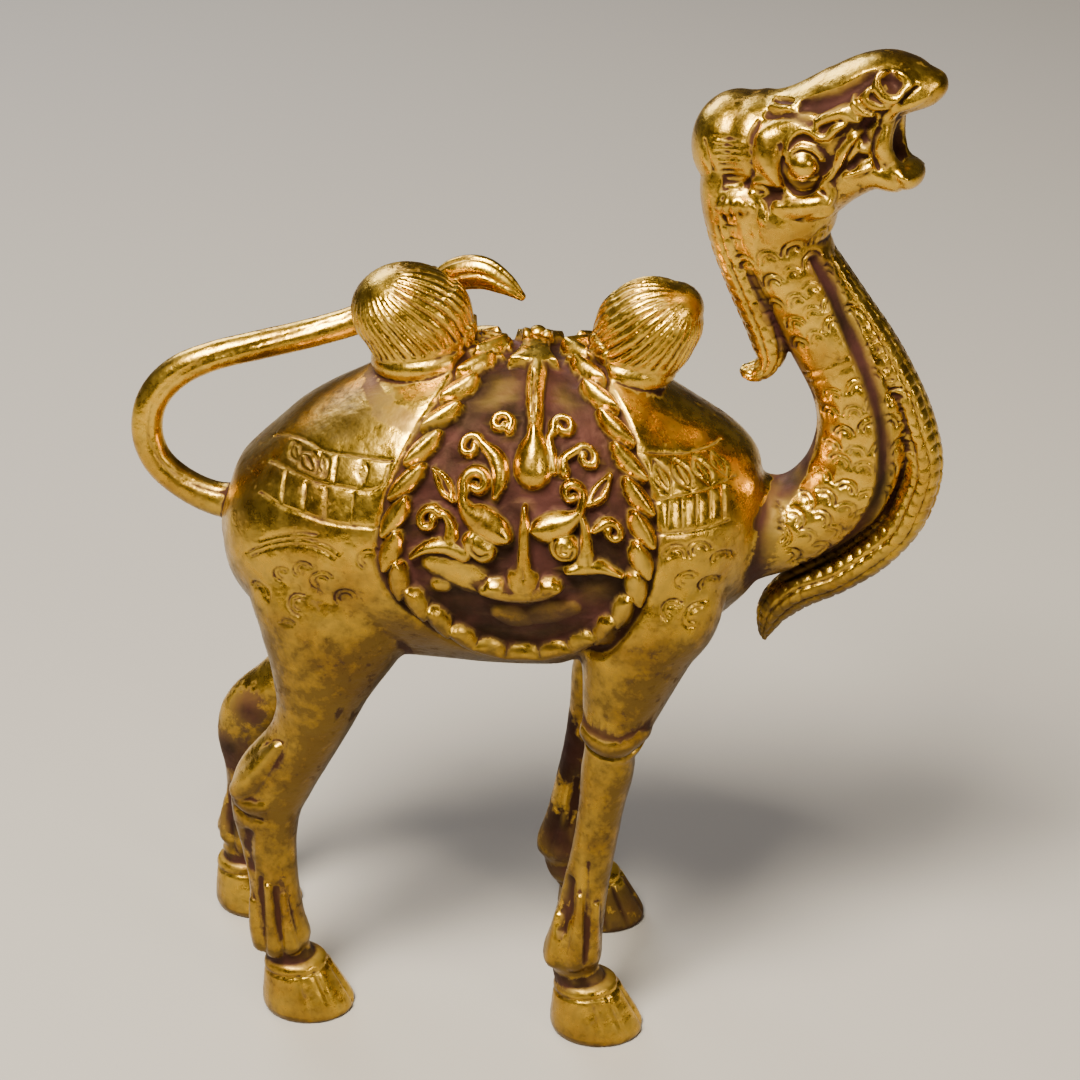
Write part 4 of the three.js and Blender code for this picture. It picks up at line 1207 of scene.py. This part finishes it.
near, run_along, angle = skin_of(TAIL, 3, 0.7, 1.3)
cuts[near] -= furrow(np.abs(np.sin(angle * 1.5 + 0.08 * run_along)), 0.22, 0.1)

near, run_along, angle = skin_of(TUFT, 3, 0.6, 1.4)
off_hump = places[near, 1] > 2.5
near, angle = near[off_hump], angle[off_hump]
cuts[near] -= furrow(np.abs(np.sin(angle * 3 + 0.4)), 0.3, 0.2)
print("nape lock and tail are cut")

# %% [markdown]
# ## Combed hair on the humps
# The hair of each tuft starts at its collar and meets at one point near the top. Those are the meridians of a globe
# whose pole is tilted towards that point, so the cut depends on the angle round the tilted pole.

# %% Comb the humps
COMB_REACH = 5.7  # from the middle of a hump
COMB_SIDE = 4.75  # keeps the comb off the tail's tuft beside the rear hump


def comb(middle, pole, strands, foot, slope):
    """Cuts hair that converges on a pole, on one hump, above a foot line with a slope."""
    near = np.flatnonzero(
        (np.linalg.norm(places - middle, axis=1) < COMB_REACH) & (np.abs(places[:, 1]) < COMB_SIDE)
        & (places[:, 2] > foot + 0.12 * (places[:, 0] - middle[0]) * slope)
    )
    away = places[near] - middle
    pole = np.array(pole) / np.linalg.norm(pole)
    first = np.cross(pole, (0, 1, 0))
    first /= np.linalg.norm(first)
    second = np.cross(pole, first)
    round_pole = np.arctan2(away @ second, away @ first)
    from_pole = np.arccos(np.clip(away @ pole / np.linalg.norm(away, axis=1), -1, 1))
    wavy = round_pole + 0.05 * np.sin(3 * round_pole + 1) + 0.03 * np.sin(7 * round_pole)
    wavy = wavy + 0.04 * np.sin(3 * from_pole)
    strand = np.abs(np.sin(wavy * strands / 2))
    deeper = 0.5 + 0.5 * np.sin(wavy * 5 + 1.3)  # the strands gather in five deeper and shallower tufts
    fade = smooth_step(0.22, 0.8, from_pole)
    cuts[near] -= furrow(strand, 0.4, (0.2 + 0.18 * deeper) * fade)


comb((-0.9, 0, 66.3), (-3.4, -1.4, 4.4), 36, 64.6, 2.1)
comb((18.8, 0, 66.3), (3.6, -1.0, 3.2), 32, 64.2, -1.5)
print("both humps are combed")

# %% [markdown]
# ## Knees, hocks, sinews and hooves
# The legs are drawn like the face, seen from the side, each measured from the middle of its own hoof. The fore knee
# ends in a hem like a sleeve, the hock stands out behind, and three knobs of sinew sit over each pastern.

# %% Strokes of the forelegs
FORE_RAISED = [
    (0.45, [(-1.9, 32.4, 0.9), (0.0, 31.7, 1.15), (1.8, 31.6, 1.15), (3.6, 32.6, 0.9)]),
    (0.35, [(-3.6, 12.8, 0.4), (-4.0, 10.0, 0.7), (-4.2, 8.3, 0.9)]),
    (0.4, [(-1.6, 15.5, 0.4), (-1.8, 12.0, 0.6), (-1.9, 8.4, 0.95)]),
    (0.35, [(-0.2, 14.5, 0.35), (-0.3, 11.0, 0.5), (-0.4, 8.5, 0.75)]),
]
FORE_SUNK = [
    (0.5, [(-1.9, 31.0, 0.2), (-0.2, 30.4, 0.3), (1.8, 30.2, 0.3), (3.8, 31.2, 0.2)]),
    (0.4, [(-2.5, 16.8, 0.5), (-2.8, 14.0, 0.75), (-3.2, 11.6, 0.5)]),
    (0.13, [(-0.9, 19.0, 0.3), (-1.0, 14.2, 0.45), (-1.1, 8.9, 0.45)]),
]

# %% Strokes of the hind legs
HIND_RAISED = [
    (0.55, [(-1.2, 29.6, 0.5), (-2.6, 27.8, 0.95), (-4.2, 25.6, 1.15), (-5.4, 24.0, 0.9)]),
    (0.3, [(-5.2, 23.2, 0.7), (-4.2, 22.9, 0.9), (-3.0, 23.1, 0.7)]),
    (0.35, [(-4.6, 12.1, 0.4), (-4.6, 9.3, 0.7), (-4.4, 7.3, 0.85)]),
    (0.4, [(-3.0, 14.2, 0.4), (-2.9, 10.4, 0.6), (-2.7, 7.1, 0.95)]),
    (0.35, [(-1.7, 13.2, 0.35), (-1.4, 10.0, 0.55), (-1.0, 7.4, 0.75)]),
]
HIND_SUNK = [
    (0.25, [(-5.5, 22.3, 0.4), (-4.2, 21.7, 0.55), (-3.2, 21.6, 0.4)]),
    (0.35, [(-4.6, 19.8, 0.8), (-4.8, 17.6, 0.8), (-4.6, 15.5, 0.5)]),
    (0.13, [(-3.7, 15.0, 0.35), (-3.7, 10.5, 0.45), (-3.6, 7.1, 0.45)]),
    (0.13, [(-2.3, 14.0, 0.35), (-2.1, 10.1, 0.4), (-1.9, 7.0, 0.4)]),
]

# %% Draw the legs
LEG_FULLNESS = 1.2  # makes the sinews' edges softer than those of the mask
INNER_SHARE = 0.6  # the inner side of a leg is drawn fainter, and has no hem or hock
for upper, _, hoof_x, hoof_y in LEGS:
    outer = NEAR if hoof_y < 0 else FAR
    leg = (np.abs(places[:, 0] - hoof_x) < 9) & (np.abs(places[:, 1] - hoof_y) < 6) & (places[:, 2] < 34)
    for face in (outer, -outer):
        skin = np.flatnonzero(leg & (face * facing[:, 1] > 0.02) & (face * (places[:, 1] - hoof_y) > -1.5))
        weight = smooth_step(0.02, 0.4, face * facing[skin, 1])
        flat = places[skin][:, [0, 2]] - (hoof_x, 0)
        raised, sunk = (FORE_RAISED, FORE_SUNK) if upper else (HIND_RAISED, HIND_SUNK)
        if face != outer:
            raised, sunk, weight = raised[1:], sunk[1:], weight * INNER_SHARE
        drawn = relief(flat, raised, fullness=LEG_FULLNESS) - relief(flat, sunk, fullness=LEG_FULLNESS)
        heights[skin] += weight * drawn
print("the legs are drawn from both sides")

# %% Cut the hooves
HOOF_LINES = [  # angle round the hoof, depth, width; the first is the cleft between the toes
    (0, 0.34, 0.09), (-0.75, 0.14, 0.07), (-1.35, 0.12, 0.07), (0.7, 0.12, 0.07), (1.4, 0.1, 0.07),
]
for _, _, hoof_x, hoof_y in LEGS:
    hoof_skin = np.flatnonzero(
        (places[:, 2] < 6.2) & (np.abs(places[:, 0] - hoof_x) < 5.5) & (np.abs(places[:, 1] - hoof_y) < 4.5)
    )
    point = places[hoof_skin]
    round_hoof = np.arctan2(point[:, 1] - hoof_y, point[:, 0] - hoof_x + HOOF_LEAN * point[:, 2])
    above = smooth_step(0.0, 0.6, point[:, 2]) * (1 - smooth_step(4.6, 5.4, point[:, 2]))
    for beside, deep, wide in HOOF_LINES:
        cuts[hoof_skin] -= furrow(round_hoof - beside, wide, deep * above)
    rim = point[:, 2] - 4.7 - 0.1 * (point[:, 0] - hoof_x)
    cuts[hoof_skin] -= furrow(rim, 0.18, 0.2)
print("each hoof has", len(HOOF_LINES), "lines and a rim")

# %% Press all drawings and cuts into the casting
heights = (heights + cuts) * smooth_step(0.0, 0.25, places[:, 2])  # the soles stay flat
press(casting, heights)
print("the drawing stands from", round(float(heights.min()), 2), "to", round(float(heights.max()), 2), "mm")

# %% [markdown]
# ## Thinning the mesh
# The fine grid puts the same number of faces on a plain thigh as on a scroll. Decimate takes faces away where the
# skin is flat and keeps them where it bends, down to what a library part may have.

# %% Thin the casting
MOST_TRIANGLES = 195000
fine = bpy.data.objects.new("fine_casting", casting)
bpy.context.scene.collection.objects.link(fine)
thin = fine.modifiers.new("thin", "DECIMATE")
thin.ratio = MOST_TRIANGLES / (2 * len(casting.polygons))
thinned = finished(fine)
print("the casting has", sum(len(face.vertices) - 2 for face in thinned.polygons), "triangles")

# %% [markdown]
# ## Where the gilding is worn and stained, and where shade is painted
# Fire gilding stays bright where hands polish it and turns brown in the hollows. We measure how hollow the skin is at
# each corner by smoothing a copy and seeing how far the copy rises over it. That is stored as an attribute which the
# material reads, with four more: the crests, the cloth's ground, the stained places, and one that holds both the thin
# gilding gone dull on the back and painted shade wherever the legs and the belly face down.

# %% Average over neighbours
places, facing = corners_of(thinned)
pairs = np.empty(len(thinned.edges) * 2, np.int32)
thinned.edges.foreach_get("vertices", pairs)
pairs = pairs.reshape(-1, 2)
neighbours = np.bincount(pairs.ravel(), minlength=len(places)).astype(float)


def averaged(values):
    """The mean of each corner's neighbours, for one column of values."""
    total = np.bincount(pairs[:, 0], values[pairs[:, 1]], len(values))
    total += np.bincount(pairs[:, 1], values[pairs[:, 0]], len(values))
    return total / neighbours


def softened(values, rounds):
    """Values after several rounds of averaging over the neighbours."""
    for _ in range(rounds):
        values = 0.5 * values + 0.5 * averaged(values)
    return values


print("a corner has", round(float(neighbours.mean()), 1), "neighbours on average")


# %% Measure the hollows and the crests
def rise_of(rounds):
    """How far the skin, smoothed for some rounds, lies over each corner, in millimetres."""
    smooth = np.column_stack([softened(places[:, k], rounds) for k in range(3)])
    return np.sum((smooth - places) * facing, axis=1)


narrow, broad = rise_of(4), rise_of(22)  # few rounds find engraved lines, many find the wide hollows
hollow = softened(np.clip(narrow / 0.035, 0, 1) * 0.6 + np.clip(broad / 0.2, 0, 1) * 0.6, 1)
crest = softened(np.clip(-narrow / 0.07, 0, 1) * 0.5 + np.clip(-broad / 0.3, 0, 1) * 0.5, 1)
print("hollow on average", round(float(hollow.mean()), 3), "and crest", round(float(crest.mean()), 3))

# %% Mark the ground
sheet, stand_off = sheet_of(places)
folded = np.column_stack([sheet[:, 0], np.abs(sheet[:, 1])])
ground = np.zeros(len(places))
cloth = near_cloth(stand_off, folded)
reach = distance_to(folded[cloth], edge_line)
low = 1 - smooth_step(-0.5, -0.12, stand_off[cloth])
ground[cloth] = low * np.where(inside(folded[cloth], cloth_outline), 1.0, np.exp(-((reach - 1.3) / 0.5) ** 2))
print("ground share of the corners:", round(float((ground > 0.5).mean()), 3))

# %% Where the stains are, seen from the side: x, z, half-width
HEAD_STAINS = FACE_SUNK[:8] + [
    (0.5, [(36.6, 86.3, 0.5), (37.6, 85.2, 0.5), (37.4, 84.0, 0.5), (36.3, 82.6, 0.4)]),
    (0.4, [(34.0, 84.2, 0.4), (34.8, 83.4, 0.4), (34.6, 82.2, 0.3)]),
    (0.5, [(31.4, 82.6, 0.3), (31.5, 81.4, 0.45), (32.4, 80.8, 0.5), (33.6, 80.9, 0.45)]),
]
SIDE_STAINS = [
    (1.5, [(x, z, half + 0.35) for x, z, half in MANE_GROOVE[0][1]]),
    (1.3, [(27.6, 72.6, 0.6), (29.2, 69.2, 0.9), (30.8, 66.0, 1.0), (32.2, 62.6, 1.0), (32.9, 59.0, 1.0),
           (32.6, 55.6, 1.0), (31.2, 52.8, 1.1), (29.4, 50.8, 1.0)]),
    (0.9, [(30.4, 50.4, 1.4), (29.4, 47.6, 1.3), (28.8, 44.6, 1.2), (29.6, 41.4, 1.0)]),
    (1.0, [(-4.5, 61.6, 0.8), (-2.2, 60.8, 1.0), (0.6, 60.4, 0.8), (3.4, 60.9, 0.5)]),
    (0.8, [(-6.6, 33.4, 0.7), (-5.7, 32.7, 0.6)]),
    (0.8, [(13.7, 17.8, 0.5), (13.2, 13.9, 0.6), (12.7, 10.8, 0.5)]),
    (0.7, [(-15.8, 19.8, 0.7), (-16.0, 17.2, 0.6), (-15.6, 14.6, 0.5)]),
]
FAR_LEG_PATCHES = [  # x, z and half-height
    (-18.7, 23.6, 2.2), (-21.0, 18.6, 2.4), (-20.6, 10.5, 2.0), (11.6, 20.0, 4.0), (11.2, 10.4, 3.0),
]

# %% Mark the stains
stain = relief(places[:, [0, 2]], SIDE_STAINS, fullness=1)
in_head = places @ np.array(turned.inverted().to_3x3()).T + np.array(turned.inverted().translation)
snout = np.flatnonzero(in_head[:, 2] > 74.5)
stain[snout] = np.maximum(stain[snout], relief(in_head[snout][:, [0, 2]], HEAD_STAINS, fullness=0.6) * 2)
for _, _, hoof_x, hoof_y in LEGS:
    by_hoof = (np.abs(places[:, 0] - hoof_x) < 6) & (np.abs(places[:, 1] - hoof_y) < 5)
    stain[by_hoof] = np.maximum(stain[by_hoof], furrow(places[by_hoof, 2] - 5.9, 0.8, 1.0))
for x, z, size in FAR_LEG_PATCHES:
    patch = (places[:, 1] > 3) * np.exp(-(((places[:, 0] - x) / 2.2) ** 2 + ((places[:, 2] - z) / size) ** 2))
    stain = np.maximum(stain, 1.1 * patch)
    crest = crest * (1 - patch)
far_hoof = (places[:, 1] > 4) & (np.abs(places[:, 0] - 17.4) < 2.6) & (places[:, 2] < 4.5)
stain[far_hoof] = np.maximum(stain[far_hoof], 0.7)
crest[far_hoof] *= 0.3
print("stained share of the corners:", round(float((stain > 0.3).mean()), 3))

# %% Mark the thin gilding and the painted shade on downward faces, and store all the marks
# painted shade: faces that point down, lower on the body, are painted darker; the second term is thin, dulled gilding
# on the back
underside_shade_and_thin_gilt = 1.2 * smooth_step(0.7, -0.6, facing[:, 2]) * smooth_step(58, 38, places[:, 2])
back = (places[:, 2] < 61.8) & (places[:, 2] > 44)
underside_shade_and_thin_gilt += 0.65 * back * smooth_step(1, -6, places[:, 0]) * smooth_step(0.3, 0.75, facing[:, 2])
marks = {"hollow": hollow, "crest": crest, "ground": ground, "stain": stain, "underside_shade_and_thin_gilt": softened(underside_shade_and_thin_gilt, 6)}
for name, values in marks.items():
    thinned.attributes.new(name, "FLOAT", "POINT").data.foreach_set("value", np.clip(values, 0, 1))
print("the casting carries the marks", ", ".join(marks))

# %% Place the casting in the frame
thinned.transform(TO_FRAME)
thinned.shade_smooth()
camel = bpy.data.objects.new("camel_casting", thinned)
bpy.context.scene.collection.objects.link(camel)
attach(camel, "root")
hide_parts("camel")

# %% [markdown]
# ## Fire-gilt bronze
# Gold was laid on as a paste with mercury, heated, and burnished with a hard stone. That leaves a warm, bright,
# slightly uneven mirror. Where it has rubbed thin the bronze shows browner and duller, and the hollows hold a
# red-brown to purple patina that is hardly metallic any more. The faces that point down are also painted darker,
# as painted shade. One shader does all of it: noises and marks say how much patina lies at a point, and that share
# mixes the colour, the metal and the gloss.

# %% The material's tools
def add(tree, kind, links=None, out=0, **settings):
    """Adds one node and gives back one of its outputs. Links hold a socket's value, or the output it comes from."""
    made = tree.nodes.new(kind)
    for name, value in settings.items():
        setattr(made, name, value)
    for name, value in (links or {}).items():
        if isinstance(value, bpy.types.NodeSocket):
            tree.links.new(value, made.inputs[name])
        else:
            made.inputs[name].default_value = value
    return made.outputs[out]


def per_mm(size):
    """A texture scale whose pattern has features of about the given size in millimetres."""
    return 1000 / size


# %% Patterns and marks
gilt = bpy.data.materials.new("fire_gilt_bronze")
gilt.use_nodes = True
tree = gilt.node_tree
here = add(tree, "ShaderNodeTexCoord", out="Object")
# polished and duller places, some millimetres across
patches = add(tree, "ShaderNodeTexNoise", {"Vector": here, "Scale": per_mm(5.0), "Detail": 4.0, "Roughness": 0.55})
# the burnisher's uneven marks, about a millimetre long
mottle = add(tree, "ShaderNodeTexNoise", {"Vector": here, "Scale": per_mm(1.3), "Detail": 5.0, "Roughness": 0.65})
# pits of a third of a millimetre, left by the mercury
grain = add(tree, "ShaderNodeTexNoise", {"Vector": here, "Scale": per_mm(0.3), "Detail": 3.0})
# flakes where the gilding came off, under a millimetre
flakes = add(tree, "ShaderNodeTexNoise", {"Vector": here, "Scale": per_mm(0.8), "Detail": 5.0, "Roughness": 0.6})
swell = add(tree, "ShaderNodeTexNoise", {"Vector": here, "Scale": per_mm(1.9), "Detail": 2.0})
hollow_here = add(tree, "ShaderNodeAttribute", out="Fac", attribute_name="hollow")
crest_here = add(tree, "ShaderNodeAttribute", out="Fac", attribute_name="crest")
ground_here = add(tree, "ShaderNodeAttribute", out="Fac", attribute_name="ground")
stain_here = add(tree, "ShaderNodeAttribute", out="Fac", attribute_name="stain")
thinness_and_shade_attribute = add(tree, "ShaderNodeAttribute", out="Fac", attribute_name="underside_shade_and_thin_gilt")
uneven = add(tree, "ShaderNodeMath", {0: mottle, 1: 0.5}, operation="SUBTRACT")

# %% Gold, the browner gold where it is thin, and the painted shade on downward faces (6, 7 and 2 are a Mix node's colour sockets)
lit = add(tree, "ShaderNodeMapRange", {"Value": mottle, "From Min": 0.35, "From Max": 0.65})
gold = add(tree, "ShaderNodeMix", {0: lit, 6: linear("#CFA22E"), 7: linear("#ECC24A")}, out=2, data_type="RGBA")
dulled = add(tree, "ShaderNodeMapRange", {"Value": patches, "From Min": 0.45, "From Max": 0.7})
gold = add(tree, "ShaderNodeMix", {0: dulled, 6: gold, 7: linear("#B0842A")}, out=2, data_type="RGBA")
# painted shade on downward faces, and the thin gilding on the back, darken the gold towards #4E3C22
browned_by_thinness_and_shade = add(tree, "ShaderNodeMath", {0: uneven, 1: 1.3, 2: thinness_and_shade_attribute}, operation="MULTIPLY_ADD")
browned_by_thinness_and_shade = add(tree, "ShaderNodeMapRange", {"Value": browned_by_thinness_and_shade, "From Min": 0.0, "From Max": 0.85, "To Max": 0.9})
gold = add(tree, "ShaderNodeMix", {0: browned_by_thinness_and_shade, 6: gold, 7: linear("#4E3C22")}, out=2, data_type="RGBA")

# %% Patina: where it lies and its two colours
dirt = add(tree, "ShaderNodeMath", {0: uneven, 1: 1.1, 2: hollow_here}, operation="MULTIPLY_ADD")
dirt = add(tree, "ShaderNodeMapRange", {"Value": dirt, "From Min": 0.26, "From Max": 0.7})
marked = add(tree, "ShaderNodeMath", {0: uneven, 1: 1.6, 2: stain_here}, operation="MULTIPLY_ADD")
marked = add(tree, "ShaderNodeMapRange", {"Value": marked, "From Min": 0.3, "From Max": 0.55})
covered = add(tree, "ShaderNodeMath", {0: uneven, 1: 1.2, 2: ground_here}, operation="MULTIPLY_ADD")
covered = add(tree, "ShaderNodeMapRange", {"Value": covered, "From Min": 0.25, "From Max": 0.6})
share = add(tree, "ShaderNodeMath", {0: dirt, 1: marked}, operation="MAXIMUM")
share = add(tree, "ShaderNodeMath", {0: share, 1: covered}, operation="MAXIMUM")
flaked = add(tree, "ShaderNodeMapRange", {"Value": flakes, "From Min": 0.56, "From Max": 0.64, "To Max": 0.85})
in_patches = add(tree, "ShaderNodeMapRange", {"Value": patches, "From Min": 0.46, "From Max": 0.6})
flaked = add(tree, "ShaderNodeMath", {0: flaked, 1: in_patches}, operation="MULTIPLY")
share = add(tree, "ShaderNodeMath", {0: share, 1: flaked}, operation="MAXIMUM")
kept_clean = add(tree, "ShaderNodeMath", {0: crest_here, 1: -0.75, 2: 1.0}, operation="MULTIPLY_ADD")
share = add(tree, "ShaderNodeMath", {0: share, 1: kept_clean}, operation="MULTIPLY")
brown = add(tree, "ShaderNodeMix", {0: mottle, 6: linear("#1C100A"), 7: linear("#40251A")}, out=2, data_type="RGBA")
redder = add(tree, "ShaderNodeMapRange", {"Value": patches, "From Min": 0.4, "From Max": 0.62})
purple = add(tree, "ShaderNodeMix", {0: redder, 6: linear("#21150F"), 7: linear("#402521")}, out=2, data_type="RGBA")
reddish = add(tree, "ShaderNodeMath", {0: stain_here, 1: ground_here}, operation="MAXIMUM")
patina = add(tree, "ShaderNodeMix", {0: reddish, 6: brown, 7: purple}, out=2, data_type="RGBA")

# %% Bring it together on the shader
shader = tree.nodes["Principled BSDF"]
skin_colour = add(tree, "ShaderNodeMix", {0: share, 6: gold, 7: patina}, out=2, data_type="RGBA")
metal = add(tree, "ShaderNodeMapRange", {
    "Value": share, "From Min": 0.2, "From Max": 0.9, "To Min": 1.0, "To Max": 0.2,
})
sheen = add(tree, "ShaderNodeMix", {0: share, 6: (1, 1, 1, 1), 7: linear("#8C6A50")}, out=2, data_type="RGBA")
gloss = add(tree, "ShaderNodeMapRange", {
    "Value": mottle, "From Min": 0.3, "From Max": 0.7, "To Min": 0.2, "To Max": 0.34,
})
gloss = add(tree, "ShaderNodeMath", {0: share, 1: 0.3, 2: gloss}, operation="MULTIPLY_ADD")
gloss = add(tree, "ShaderNodeMath", {0: browned_by_thinness_and_shade, 1: 0.12, 2: gloss}, operation="MULTIPLY_ADD")
waves = add(tree, "ShaderNodeBump", {"Height": swell, "Strength": 1.0, "Distance": 0.00012}, out="Normal")
rough_skin = add(tree, "ShaderNodeMix", {0: 0.3, 2: mottle, 3: grain})
pits = add(tree, "ShaderNodeBump", {
    "Height": rough_skin, "Strength": 0.8, "Distance": 0.00009, "Normal": waves,
}, out="Normal")
finish = {"Base Color": skin_colour, "Metallic": metal, "Roughness": gloss, "Specular Tint": sheen, "Normal": pits}
for name, value in finish.items():
    tree.links.new(value, shader.inputs[name])
thinned.materials.clear()
thinned.materials.append(gilt)
print("the gilding has", len(tree.nodes), "nodes")

# %% The floor
pale = bpy.data.materials.new("pale_floor")
pale.use_nodes = True
pale.node_tree.nodes["Principled BSDF"].inputs["Base Color"].default_value = linear("#9F9A92")
pale.node_tree.nodes["Principled BSDF"].inputs["Roughness"].default_value = 0.8
floor_mesh.materials.append(pale)
